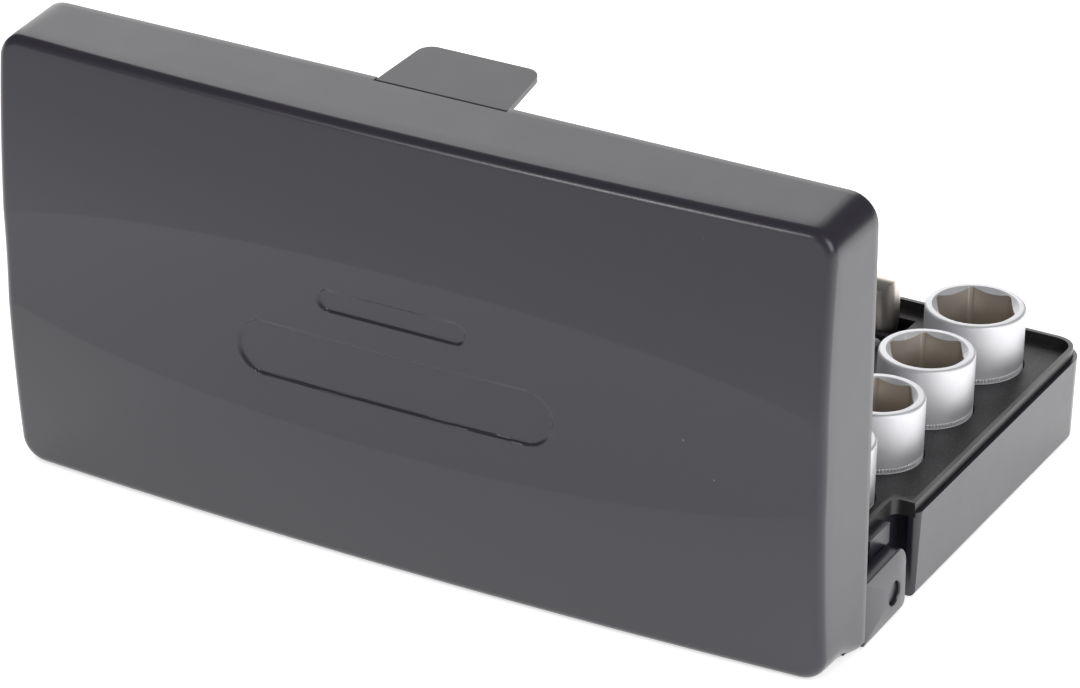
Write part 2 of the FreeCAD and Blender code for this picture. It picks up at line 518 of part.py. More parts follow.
def build_lid():
    """The lid: drafted walls, a crowned face with its band and recesses, and two hinge arms."""
    block = slab("lid_block", "case_length", "case_depth", "corner_radius", RIM,
                 "lid_height + crown_long + crown_short + 1", draft="lid_draft")
    face = common("lid_face", block, crown("lid_crown", "0"))
    rim_level = size(RIM)
    soft = rounded("lid_soft", face, "lid_edge",
                   lambda b: b.ZMin > rim_level + size("lid_height") - 2 and b.ZLength < size("lid_height") / 2)
    banded = cut("lid_banded", soft, band(),
                 plate("lid_plate", "plate_length", "plate_width", "plate_offset"),
                 plate("lid_small_plate", "small_plate_length", "small_plate_width",
                       "plate_offset - small_plate_offset"))
    cavity_block = slab("lid_cavity_block", "case_length - 2 * shell_wall", "case_depth - 2 * shell_wall",
                        "corner_radius - shell_wall", f"{RIM} - 1", "lid_height + crown_long + crown_short + 2",
                        draft="lid_draft")
    cavity = common("lid_cavity", cavity_block, crown("lid_inner_crown", "roof_inset"))
    skin = "(ledge_width - rim_gap)"
    step = slab("lid_rim_step", f"case_length - 2 * {skin}", f"case_depth - 2 * {skin}",
                f"corner_radius - {skin}", f"{RIM} - 1", "lip_height + rim_gap + 1")
    shell = cut("lid_hollow", banded, cavity, step)
    parts = [shell]
    bores = []
    for side, low in (("left", f"-({END})"), ("right", f"{END} - arm_thickness")):
        root = f"({RIM} + arm_root)"
        arm = box(f"lid_{side}_arm", (low, f"{HINGE_Y} - arm_front", f"{HINGE_Z} - arm_back"),
                  ("arm_thickness", "arm_front + arm_back", f"{root} - {HINGE_Z} + arm_back"))
        for corner, level_y in (("front", f"{HINGE_Y} - arm_front"), ("back", f"{HINGE_Y} + arm_back")):
            foot, edge_y = size(f"{HINGE_Z} - arm_back"), size(level_y)
            arm = rounded(f"lid_{side}_arm_{corner}", arm, f"arm_{corner}_round",
                          lambda b: near(b.ZMax, foot) and near(b.YMin, edge_y) and near(b.YMax, edge_y))
        parts.append(arm)
        bores.append(rod(f"lid_{side}_bore", "stud_radius + stud_fit", "arm_thickness + 2",
                         (f"{low} - 1", HINGE_Y, HINGE_Z), "x"))
    boss_half = f"({LATCH_SLOT} / 2 + latch_boss - rim_gap)"
    parts.append(box("lid_latch_boss", (f"-{boss_half}", f"{FRONT} + boss_inset", RIM),
                     (f"2 * {boss_half}", "latch_boss - boss_inset", "lip_height + rim_gap + 2")))
    slot_height = "(barrel_drop + barrel_radius + latch_gap)"
    bores.append(box("lid_latch_slot", (f"-{LATCH_SLOT} / 2", f"{FRONT} - 1", f"{RIM} - 1"),
                     (LATCH_SLOT, f"1 + 2 * barrel_radius + 2 * latch_gap", f"1 + {slot_height}")))
    bores.append(rod("lid_latch_bore", "trunnion_radius + trunnion_fit",
                     f"{LATCH_SLOT} + 2 * (trunnion_length + latch_gap)",
                     (f"-{LATCH_SLOT} / 2 - trunnion_length - latch_gap", BARREL_Y, BARREL_Z), "x"))
    arms = fuse("lid_with_arms", *parts)
    trimmed = common("lid_trimmed", arms, lid_envelope())
    return cut("lid_shell", trimmed, *bores)


def lid_envelope():
    """The space that the lid and its arms may fill: the case's outline, up to the arms' roots."""
    return slab("lid_envelope", "case_length", "case_depth", "corner_radius", "-hinge_inset",
                f"{TOP} + hinge_inset + 1")


# ---- latch, modelled closed --------------------------------------------------------------
BARREL_Y = f"({FRONT} + barrel_radius + latch_gap)"
BARREL_Z = f"({RIM} + barrel_drop)"


def build_latch():
    """The latch: a tab that narrows towards its tip, on a barrel in the lid's rim."""
    face_y = f"({FRONT} + latch_gap)"
    tip_z = f"({RIM} - latch_reach)"
    flap = make("Wedge", "latch_blank", ("0", f"{face_y} + latch_thickness", tip_z),
                Xmin="-latch_tip_width / 2", Xmax="latch_tip_width / 2", Ymin="0", Ymax="latch_reach + barrel_drop",
                X2min="-latch_width / 2", X2max="latch_width / 2", Zmin="0", Zmax="latch_thickness",
                Z2min="0", Z2max="latch_thickness")
    flap.Placement = Placement(flap.Placement.Base, Rotation(Vector(1, 0, 0), 90))
    tip_level = size(tip_z)
    soft = rounded("latch_soft", flap, "latch_corner", lambda b: near(b.ZMax, tip_level) and b.XLength < 0.01)
    half = "(latch_width / 2)"
    barrel = rod("latch_barrel", "barrel_radius", "latch_width", (f"-{half}", BARREL_Y, BARREL_Z), "x")
    stubs = rod("latch_stubs", "trunnion_radius", "latch_width + 2 * trunnion_length",
                (f"-{half} - trunnion_length", BARREL_Y, BARREL_Z), "x")
    groove = rod("latch_groove", "catch_height + latch_gap", "catch_length + 2 * latch_gap",
                 ("-catch_length / 2 - latch_gap", f"{FRONT} + {RECESS_DEPTH}", "catch_level"), "x")
    return cut("latch_flap", fuse("latch_solid", soft, barrel, stubs), groove)


def turned_open():
    """The placement that opens the closed lid until its back wall lies on the ground."""
    hinge = Vector(0, size(HINGE_Y), size(HINGE_Z))
    return Placement(Vector(), Rotation(Vector(1, 0, 0), -(90 + size("lid_draft"))), hinge)


def unlatched():
    """The placement that stands the closed flap off the tray by its rest angle."""
    barrel = Vector(0, size(BARREL_Y), size(BARREL_Z))
    return Placement(Vector(), Rotation(Vector(1, 0, 0), -size("latch_rest")), barrel)


# ---- sockets -----------------------------------------------------------------------------
def lead_cone(name, flats, x, y, top):
    """The cone that leads into a hexagon: as wide as its corners at the top and as its flats below."""
    half = f"(({flats} + hexagon_fit) / 2)"
    return taper(name + "_lead", half, f"{half} * (2 / cos(30) - 1)", "2 * lead_in", (x, y, f"{top} - lead_in"))


def build_socket(flats, x, y):
    """A socket that stands on its drive end, with its hexagon up and two corners along X."""
    name = size_name(flats)
    nominal = f"{name}_flats"
    foot = "pocket_floor"
    top = f"({foot} + socket_height)"
    nose = f"({nominal} / 2 + socket_wall)"
    if outer_radius(flats) == "drive_end_radius":
        neck = f"(drive_end_radius - {nose})"
        outside = fuse(
            name + "_blank",
            rod(name + "_drive_end", "drive_end_radius", f"socket_height - nose_height - {neck}", (x, y, foot)),
            taper(name + "_shoulder", "drive_end_radius", nose, neck,
                  (x, y, f"{foot} + socket_height - nose_height - {neck}")),
            rod(name + "_nose", nose, "nose_height", (x, y, f"{top} - nose_height")))
    else:
        outside = rod(name + "_blank", nose, "socket_height", (x, y, foot))
    low, high = size(foot), size(top)
    soft = rounded(name + "_soft", outside, "socket_round",
                   lambda b: b.ZLength < 0.01 and (near(b.ZMin, low) or near(b.ZMin, high)))
    corner = f"(({nominal} + hexagon_fit) / 2 / cos(30))"
    hexagon = make("Prism", name + "_hexagon", (x, y, f"{top} - hexagon_depth"),
                   Circumradius=corner, Height="hexagon_depth + 1")
    lead = lead_cone(name, nominal, x, y, top)
    bore_radius = f"({nominal} / 2 - hexagon_fit)"
    bore = rod(name + "_bore", "through_radius" if size(bore_radius) > size("through_radius") else bore_radius,
               "socket_height", (x, y, f"{foot} - 1"))
    side = "(drive_square + square_fit)"
    square = box(name + "_square", (f"{x} - {side} / 2", f"{y} - {side} / 2", f"{foot} - 1"),
                 (side, side, "square_depth + 1"))
    return cut(name, soft, hexagon, lead, bore, square)


def socket_places():
    """Each socket's nominal flats with the expressions of its place along X and Y."""
    last = LARGE_SOCKETS[0]
    y = f"({FRONT} + shell_wall + column_front_gap * column_spread + {outer_radius(last)})"
    places = [(last, COLUMN_X, y)]
    for flats in LARGE_SOCKETS[1:]:
        y = f"({y} + {outer_radius(last)} + {outer_radius(flats)} + column_gap * column_spread)"
        places.append((flats, COLUMN_X, y))
        last = flats
    x = COLUMN_X
    for flats in SMALL_SOCKETS:
        x = f"({x} + {outer_radius(last)} + {outer_radius(flats)} + row_gap * row_spread)"
        places.append((flats, x, y))
        last = flats
    return places


# ---- tools that lie along the case -------------------------------------------------------
def male_square(name, x, y, z, along, sign=1):
    """A drive square that starts at a point, with the seat of its detent ball on top."""
    start = f"{x} - {DRIVE_HALF}" if along != "x" else (x if sign > 0 else f"{x} - drive_length")
    if along == "x":
        block = box(name, (start, f"{y} - {DRIVE_HALF}", f"{z} - {DRIVE_HALF}"),
                    ("drive_length", "drive_square", "drive_square"))
        seat_at = (f"{x} + {sign} * ball_place", y, BALL_Z.format(z=z))
    else:
        block = box(name, (start, y, f"{z} - {DRIVE_HALF}"), ("drive_square", "drive_length", "drive_square"))
        seat_at = (x, f"{y} + ball_place", BALL_Z.format(z=z))
    soft = rounded(name + "_soft", block, "square_round", lambda b: is_along(b, along))
    seat = ball(name + "_seat", "ball_radius + ball_fit", seat_at)
    detent = ball(name.replace("_square", "_ball"), "ball_radius", seat_at)
    return cut(name + "_seated", soft, seat), detent


BALL_Z = "({z} + drive_square / 2 + ball_out - ball_radius)"


def is_along(bound, along):
    """True for an edge whose bounding box runs along one axis only."""
    spans = {"x": bound.XLength, "y": bound.YLength, "z": bound.ZLength}
    return spans.pop(along) > 0.01 and max(spans.values()) < 0.01


def extension_bar(name, length, start_x, y):
    """A bar along X with its female end first and its male square last."""
    z = "bar_level"
    head = rounded(name + "_head", rod(name + "_head_blank", "bar_head_radius", "bar_head_length",
                                       (start_x, y, z), "x"),
                   "socket_round", lambda b: b.XLength < 0.01)
    neck_x = f"({start_x} + bar_head_length)"
    cone = taper(name + "_neck", "bar_head_radius - socket_round", "bar_radius", "bar_head_radius - bar_radius",
                 (f"{neck_x} - 0.01", y, z), "x")
    stem = rod(name + "_stem", "bar_radius", f"{length} - bar_head_length - bar_tip_length", (neck_x, y, z), "x")
    end_x = f"({start_x} + {length})"
    tip = taper(name + "_tip", "bar_radius", "bar_tip_radius", "bar_tip_length",
                (f"{end_x} - bar_tip_length", y, z), "x")
    square, detent = male_square(name + "_square", end_x, y, z, "x")
    side = "(drive_square + square_fit)"
    female = box(name + "_female", (f"{start_x} - 1", f"{y} - {side} / 2", f"{z} - {side} / 2"),
                 ("square_depth + 1", side, side))
    return cut(name, fuse(name + "_solid", head, cone, stem, tip, square), female), detent


def build_adapter(x, y):
    """A short upright adapter: a hexagon for bits on top and a drive square below."""
    foot = "pocket_floor"
    soft = rounded("bit_adapter_soft", rod("bit_adapter_blank", "adapter_radius", "socket_height", (x, y, foot)),
                   "socket_round", lambda b: b.ZLength < 0.01)
    hexagon = make("Prism", "bit_adapter_hexagon", (x, y, f"{foot} + socket_height - hexagon_depth"),
                   Circumradius="(bit_flats + hexagon_fit) / 2 / cos(30)", Height="hexagon_depth + 1")
    side = "(drive_square + square_fit)"
    square = box("bit_adapter_square", (f"{x} - {side} / 2", f"{y} - {side} / 2", f"{foot} - 1"),
                 (side, side, "square_depth + 1"))
    lead = lead_cone("bit_adapter", "bit_flats", x, y, f"({foot} + socket_height)")
    return cut("bit_adapter", soft, hexagon, lead, square)


def build_spinner():
    """A screwdriver-shaped handle along X, with its steel blade and male square towards -X."""
    y, z, handle_x = SPINNER_Y, "spinner_level", SPINNER_HANDLE_X
    neck = rod("spinner_neck", "spinner_neck_radius", "spinner_neck_length", (handle_x, y, z), "x")
    flare = taper("spinner_flare", "spinner_neck_radius", "spinner_radius", "spinner_neck_length",
                  (f"{handle_x} + spinner_neck_length", y, z), "x")
    grip = rod("spinner_grip", "spinner_radius", "spinner_grip_length - 2 * spinner_neck_length",
               (f"{handle_x} + 2 * spinner_neck_length", y, z), "x")
    end = size(f"{handle_x} + spinner_grip_length")
    soft = rounded("spinner_soft", fuse("spinner_solid", neck, flare, grip), "spinner_round",
                   lambda b: near(b.XMin, end) and near(b.XMax, end))
    bore = rod("spinner_bore", "blade_radius", "blade_root + 1", (f"{handle_x} - 1", y, z), "x")
    flutes = []
    reach = "(spinner_radius + flute_radius - flute_depth)"
    for i in range(SPINNER_FLUTES):
        turn = math.radians(360 / SPINNER_FLUTES * (i + 0.5))
        flutes.append(rod(f"spinner_flute_{i}", "flute_radius", "flute_length",
                          (f"{handle_x} + flute_start",
                           f"{y} + {reach} * {math.cos(turn):.6f}", f"{z} + {reach} * {math.sin(turn):.6f}"), "x"))
    handle = cut("spinner_handle", soft, bore, *flutes)
    root_x = f"({SPINNER_TIP_X} + drive_length)"
    square, detent = male_square("spinner_square", root_x, y, z, "x", -1)
    blade = fuse("spinner_blade", square,
                 rod("spinner_rod", "blade_radius", "blade_length + blade_root", (root_x, y, z), "x"))
    return handle, blade, detent


# ---- ratchet -----------------------------------------------------------------------------
RATCHET_Z = "ratchet_level"
HEAD_X = f"({GRIP_X} + ratchet_length - head_radius)"
HEAD_BACK = f"({RATCHET_Y} - head_thickness / 2)"
HEAD_FRONT = f"({RATCHET_Y} + head_thickness / 2)"
GEAR_BACK = f"({HEAD_BACK} + head_floor + gear_gap)"
GEAR_THICKNESS = "(head_thickness - head_floor - cover_thickness - 2 * gear_gap)"
LEVER_X = f"({HEAD_X} - gear_radius - lever_place)"


def build_ratchet_body():
    """The ratchet's head and shank, with the spaces for its gear, pawl and lever."""
    head = rounded("ratchet_head", rod("ratchet_head_blank", "head_radius", "head_thickness",
                                       (HEAD_X, HEAD_BACK, RATCHET_Z), "y"),
                   "socket_round", lambda b: b.YLength < 0.01)
    root = f"({GRIP_X} + shank_start)"
    shank = rounded("ratchet_shank", box("ratchet_shank_blank",
                                         (root, f"{RATCHET_Y} - shank_thickness / 2", f"{RATCHET_Z} - shank_width / 2"),
                                         (f"{HEAD_X} - head_radius / 2 - {root}", "shank_thickness", "shank_width")),
                    "socket_round", lambda b: is_along(b, "x"))
    pocket = rod("ratchet_gear_pocket", "gear_radius + gear_gap", "head_thickness",
                 (HEAD_X, f"{HEAD_BACK} + head_floor", RATCHET_Z), "y")
    cover_seat = rod("ratchet_cover_seat", "cover_radius + gear_gap", "cover_thickness + 1",
                     (HEAD_X, f"{HEAD_FRONT} - cover_thickness", RATCHET_Z), "y")
    pawl_pocket = pawl_block("ratchet_pawl_pocket", "gear_gap")
    stem = rod("ratchet_stem_bore", "lever_stem_radius + lever_fit", "head_floor + 2",
               (LEVER_X, f"{HEAD_BACK} - 1", RATCHET_Z), "y")
    screws = [rod(f"ratchet_screw_seat_{i}", "screw_radius", "head_thickness - head_floor", at, "y")
              for i, at in enumerate(screw_places(f"{HEAD_BACK} + head_floor"))]
    return cut("ratchet_body", fuse("ratchet_solid", head, shank), pocket, cover_seat, pawl_pocket, stem, *screws)


def screw_places(y):
    """Where the cover's three screws stand around the gear."""
    reach = "((gear_radius + cover_radius) / 2)"
    places = []
    for angle in SCREW_ANGLES:
        turn = math.radians(angle)
        places.append((f"{HEAD_X} + {reach} * {math.cos(turn):.6f}", y,
                       f"{RATCHET_Z} + {reach} * {math.sin(turn):.6f}"))
    return places


def pawl_block(name, gap):
    """The pawl beside the gear, or with a gap the space that it lies in."""
    back = f"({GEAR_BACK} - {gap})" if gap != "0" else GEAR_BACK
    block = box(name + "_block",
                (f"{LEVER_X} - pawl_length / 2 - {gap}", back, f"{RATCHET_Z} - pawl_width / 2 - {gap}"),
                (f"pawl_length + {gap}", f"{GEAR_THICKNESS} + 2 * {gap}", f"pawl_width + 2 * {gap}"))
    if gap != "0":
        return block
    clear = rod(name + "_clearance", "gear_radius + gear_gap", "head_thickness",
                (HEAD_X, HEAD_BACK, RATCHET_Z), "y")
    bore = rod(name + "_bore", "lever_stem_radius + lever_fit", "head_thickness",
               (LEVER_X, HEAD_BACK, RATCHET_Z), "y")
    return cut(name, block, clear, bore)


def build_cover():
    """The plate that closes the ratchet's head."""
    plate = rod("cover_blank", "cover_radius", "cover_thickness",
                (HEAD_X, f"{HEAD_FRONT} - cover_thickness", RATCHET_Z), "y")
    hub = rod("cover_hub_hole", "hub_radius + hub_fit", "cover_thickness + 2",
              (HEAD_X, f"{HEAD_FRONT} - cover_thickness - 1", RATCHET_Z), "y")
    holes = [rod(f"cover_hole_{i}", "screw_radius", "cover_thickness + 2", at, "y")
             for i, at in enumerate(screw_places(f"{HEAD_FRONT} - cover_thickness - 1"))]
    return cut("cover_plate", plate, hub, *holes)


def build_cover_screws():
    """The two screws that hold the cover plate."""
    shafts = [rod(f"cover_screw_{i}", "screw_radius", "cover_thickness + screw_depth", at, "y")
              for i, at in enumerate(screw_places(f"{HEAD_FRONT} - cover_thickness - screw_depth"))]
    return fuse("cover_screws", *shafts)


def build_gear():
    """The toothed drive gear with its hub, its male square and the square's detent ball."""
    outer, root = size("gear_radius"), size("gear_radius - tooth_depth")
    rim = []
    for tooth in range(GEAR_TEETH):
        for part, radius in ((0, outer), (0.5, root)):
            turn = 2 * math.pi * (tooth + part) / GEAR_TEETH
            rim.append(Vector(radius * math.cos(turn), 0, radius * math.sin(turn)))
    teeth = doc.addObject("Part::Feature", "drive_gear_teeth")
    teeth.Shape = Part.Face(Part.makePolygon(rim + rim[:1])).extrude(Vector(0, size(GEAR_THICKNESS), 0))
    teeth.Placement = Placement(Vector(size(HEAD_X), size(GEAR_BACK), size(RATCHET_Z)), Rotation())
    hub = rod("drive_gear_hub", "hub_radius", f"{HEAD_FRONT} - ({GEAR_BACK}) + gear_gap",
              (HEAD_X, GEAR_BACK, RATCHET_Z), "y")
    square, detent = male_square("drive_gear_square", HEAD_X, f"({HEAD_FRONT} + gear_gap / 2)", RATCHET_Z, "y")
    return fuse("drive_gear", teeth, hub, square), detent


def build_lever():
    """The reversing lever on the head's back, with the stem that turns the pawl."""
    back = f"({HEAD_BACK} - gear_gap - lever_thickness)"
    hub = rod("lever_hub", "lever_hub_radius", "lever_thickness", (LEVER_X, back, RATCHET_Z), "y")
    stem = rod("lever_stem", "lever_stem_radius", f"{GEAR_BACK} + {GEAR_THICKNESS} / 2 - ({back})",
               (LEVER_X, back, RATCHET_Z), "y")
    finger = box("lever_finger", (f"{LEVER_X} - lever_length + lever_hub_radius", back,
                                  f"{RATCHET_Z} - lever_width / 2"),
                 ("lever_length - lever_hub_radius", "lever_thickness", "lever_width"))
    tip_x = size(f"{LEVER_X} - lever_length + lever_hub_radius")
    soft = rounded("lever_finger_soft", finger, "lever_round", lambda b: is_along(b, "y") and near(b.XMax, tip_x))
    return fuse("reverse_lever", hub, stem, soft)


def build_grip():
    """The ratchet's flat handle, with a round heel and the hole that the shank lies in."""
    half_w, half_t = "(grip_width / 2)", "(grip_thickness / 2)"
    blank = box("grip_blank", (GRIP_X, f"{RATCHET_Y} - {half_t}", f"{RATCHET_Z} - {half_w}"),
                ("grip_length", "grip_thickness", "grip_width"))
    start, foot = size(GRIP_X), size(f"{RATCHET_Z} - {half_w}")
    heel = rounded("grip_heel", blank, "grip_heel",
                   lambda b: is_along(b, "y") and near(b.XMin, start) and near(b.ZMin, foot))
    ends = rounded("grip_soft", heel, "grip_round",
                   lambda b: b.YLength < 0.01 and not (is_along(b, "z") and b.XMin > start + 1))
    hole = box("grip_hole", (f"{GRIP_X} + shank_start", f"{RATCHET_Y} - shank_thickness / 2",
                             f"{RATCHET_Z} - shank_width / 2"),
               ("grip_length", "shank_thickness", "shank_width"))
    return cut("ratchet_grip", ends, hole)


# ---- insert ------------------------------------------------------------------------------
def lying_pocket(name, radius, low_x, high_x, y, level):
    """A pocket open upwards for a round tool that lies along X."""
    reach = f"({radius} + pocket_gap)"
    floor_part = rod(name + "_floor", reach, f"{high_x} - ({low_x})", (low_x, y, level), "x")
    upper = box(name + "_upper", (low_x, f"{y} - {reach}", level),
                (f"{high_x} - ({low_x})", f"2 * {reach}", "tray_height"))
    return [floor_part, upper]


def latch_space(name):
    """The room that the insert and its rim leave for the wall behind the latch."""
    half = f"({LATCH_SLOT} / 2 + recess_wall + insert_gap)"
    return box(name, (f"-{half}", f"{FRONT} - 1", "0"),
               (f"2 * {half}", f"1 + {RECESS_DEPTH} + recess_wall + insert_gap", "tray_height + lip_height + 1"))


def build_insert_rim():
    """The flange and lip round the insert's block, which they meet all the way round."""
    flange = cut("rim_flange", rim_block("rim_flange_outside", "ledge_width", FLANGE_FOOT, "flange_thickness"),
                 inner_block("rim_flange_inside", "insert_gap", "tray_floor", "tray_height"))
    lip = cut("rim_lip", rim_block("rim_lip_outside", "ledge_width", "tray_height", "lip_height"),
              rim_block("rim_lip_inside", "ledge_width + lip_width", "tray_height - 1", "lip_height + 2"))
    lip_break = box("rim_lip_break", (f"-({LATCH_SLOT} / 2 + latch_boss)", f"{FRONT} - 1", "tray_height"),
                    (f"2 * ({LATCH_SLOT} / 2 + latch_boss)", "1 + latch_boss + rim_gap", "lip_height + 1"))
    return cut("insert_rim", fuse("rim_solid", flange, lip), latch_space("rim_latch_space"), lip_break)


def build_insert(places):
    """The insert's block with a pocket for each tool."""
    block = inner_block("insert_block", "insert_gap", "tray_floor", "tray_height - tray_floor")
    pockets = [latch_space("insert_latch_space")]
    for flats, x, y in places:
        pockets.append(rod(size_name(flats) + "_pocket", f"{outer_radius(flats)} + pocket_gap", "socket_height",
                           (x, y, "pocket_floor")))
    pockets.append(rod("adapter_pocket", "adapter_radius + pocket_gap", "socket_height",
                       (ADAPTER_X, SECOND_Y, "pocket_floor")))
    reach_y, reach_z = "(grip_thickness / 2 + pocket_gap)", "(grip_width / 2 + pocket_gap)"
    pockets.append(box("grip_pocket", (f"{GRIP_X} - ratchet_slack", f"{RATCHET_Y} - {reach_y}",
                                       f"{RATCHET_Z} - {reach_z}"),
                       ("grip_length + ratchet_slack + pocket_gap", f"2 * {reach_y}", "tray_height")))
    lever_side = f"({HEAD_BACK} - gear_gap - lever_thickness - pocket_gap)"
    pockets.append(box("shank_pocket", (f"{GRIP_X} + grip_length", lever_side, f"{RATCHET_Z} - shank_width"),
                       (f"{HEAD_X} - ({GRIP_X}) - grip_length", f"{HEAD_FRONT} + pocket_gap - {lever_side}",
                        "tray_height")))
    for part, start, length in (
            ("head", lever_side, f"{HEAD_FRONT} + pocket_gap - {lever_side}"),
            ("square", HEAD_FRONT, "drive_length + 1 + pocket_gap")):
        reach = "(head_radius + pocket_gap)" if part == "head" else f"({DRIVE_HALF} + square_side_gap)"
        pockets.append(rod(f"{part}_pocket", reach, length, (HEAD_X, start, RATCHET_Z), "y"))
        pockets.append(box(f"{part}_pocket_upper", (f"{HEAD_X} - {reach}", start, RATCHET_Z),
                           (f"2 * {reach}", length, "tray_height")))
    for name, start_x, length, y in (("long_bar", LONG_BAR_X, "long_bar_length", BAR_Y),
                                     ("short_bar", SHORT_BAR_X, "short_bar_length", SECOND_Y)):
        pockets += lying_pocket(name + "_pocket", "bar_head_radius", f"({start_x} - pocket_gap)",
                                f"({start_x} + {length} + drive_length + pocket_gap)", y, "bar_level")
    pockets += lying_pocket("spinner_pocket", "spinner_radius", f"({SPINNER_HANDLE_X} - pocket_gap)",
                            f"({SPINNER_HANDLE_X} + spinner_grip_length + pocket_gap)", SPINNER_Y, "spinner_level")
    pockets += lying_pocket("blade_pocket", f"({DRIVE_HALF} + square_side_gap - pocket_gap)",
                            f"({SPINNER_TIP_X} - pocket_gap)", SPINNER_HANDLE_X, SPINNER_Y, "spinner_level")
    scoop_end = f"({ROW_Y} - {outer_radius(SMALL_SOCKETS[0])} - scoop_gap)"
    pockets.append(rod("finger_scoop", "scoop_radius", f"{scoop_end} - ({FRONT}) - scoop_start",
                       (f"-{END} + scoop_place", f"{FRONT} + scoop_start",
                        "tray_height + scoop_radius - scoop_depth"), "y"))
    return cut("tool_insert", block, *pockets)


def build_all():
    """Build every node, in the order in which the case is packed."""
    lid, latch = build_lid(), build_latch()
    places = socket_places()
    nodes = [build_tray(), lid, latch, build_insert(places), build_insert_rim()]
    nodes += [build_socket(flats, x, y) for flats, x, y in places]
    nodes += [build_ratchet_body(), build_cover(), build_cover_screws(), pawl_block("pawl", "0"), build_lever(),
              build_grip(), *build_gear()]
    nodes += extension_bar("long_bar", "long_bar_length", LONG_BAR_X, BAR_Y)
    nodes += extension_bar("short_bar", "short_bar_length", SHORT_BAR_X, SECOND_Y)
    nodes += [build_adapter(ADAPTER_X, SECOND_Y), *build_spinner()]
    lid.Placement = turned_open()
    latch.Placement = turned_open() * unlatched()
    return nodes


def check(nodes):
    """Stop if any object failed or any node is not one sound set of solids."""
    doc.recompute()
    for item in doc.Objects:
        if "Invalid" in item.State or "Error" in item.State:
            raise RuntimeError(f"{item.Name} failed: {item.State}")
    for node in nodes:
        if node.Shape.isNull() or not node.Shape.isValid() or not node.Shape.Solids:
            raise RuntimeError(f"{node.Label} is not a sound solid")


os.makedirs("parts", exist_ok=True)
all_nodes = build_all()
check(all_nodes)
for node in all_nodes:
    node.Shape.exportStep(f"parts/{node.Label}.step")
    print(f"{node.Label}: {len(node.Shape.Solids)} solid, {node.Shape.Volume:.1f} mm3")
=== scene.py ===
"""Dresses the parts of a hinged socket set case and its tools, and lights them.

All shapes are worked out in millimetres, in the frame of the solids: +X along the hinge,
+Y from the latch side to the hinge side, +Z up, with the origin under the tray's middle.
The lid is shaped closed and then turned open about the hinge, as its solid is.
"""
import logging
import math
from dataclasses import dataclass
from enum import Enum

import bmesh
import bpy
import numpy as np
from mathutils import Matrix, Vector


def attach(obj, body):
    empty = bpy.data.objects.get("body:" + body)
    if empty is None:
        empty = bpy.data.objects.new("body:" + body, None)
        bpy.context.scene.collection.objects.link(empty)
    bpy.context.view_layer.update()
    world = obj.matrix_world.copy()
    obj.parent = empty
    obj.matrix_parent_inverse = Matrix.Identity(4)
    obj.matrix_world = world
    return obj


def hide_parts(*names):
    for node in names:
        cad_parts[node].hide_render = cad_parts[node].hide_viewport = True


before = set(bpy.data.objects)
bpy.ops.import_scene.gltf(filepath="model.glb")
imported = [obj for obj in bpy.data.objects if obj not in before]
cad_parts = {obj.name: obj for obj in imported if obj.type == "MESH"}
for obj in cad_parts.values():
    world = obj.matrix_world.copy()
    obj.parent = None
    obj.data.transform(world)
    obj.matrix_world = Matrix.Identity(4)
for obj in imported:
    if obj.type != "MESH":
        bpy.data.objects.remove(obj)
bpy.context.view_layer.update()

MM = 0.001
MERGE = 2e-6
THIN = 1e-6
LEAST_RADIUS = 0.02
log = logging.getLogger("socket_case")


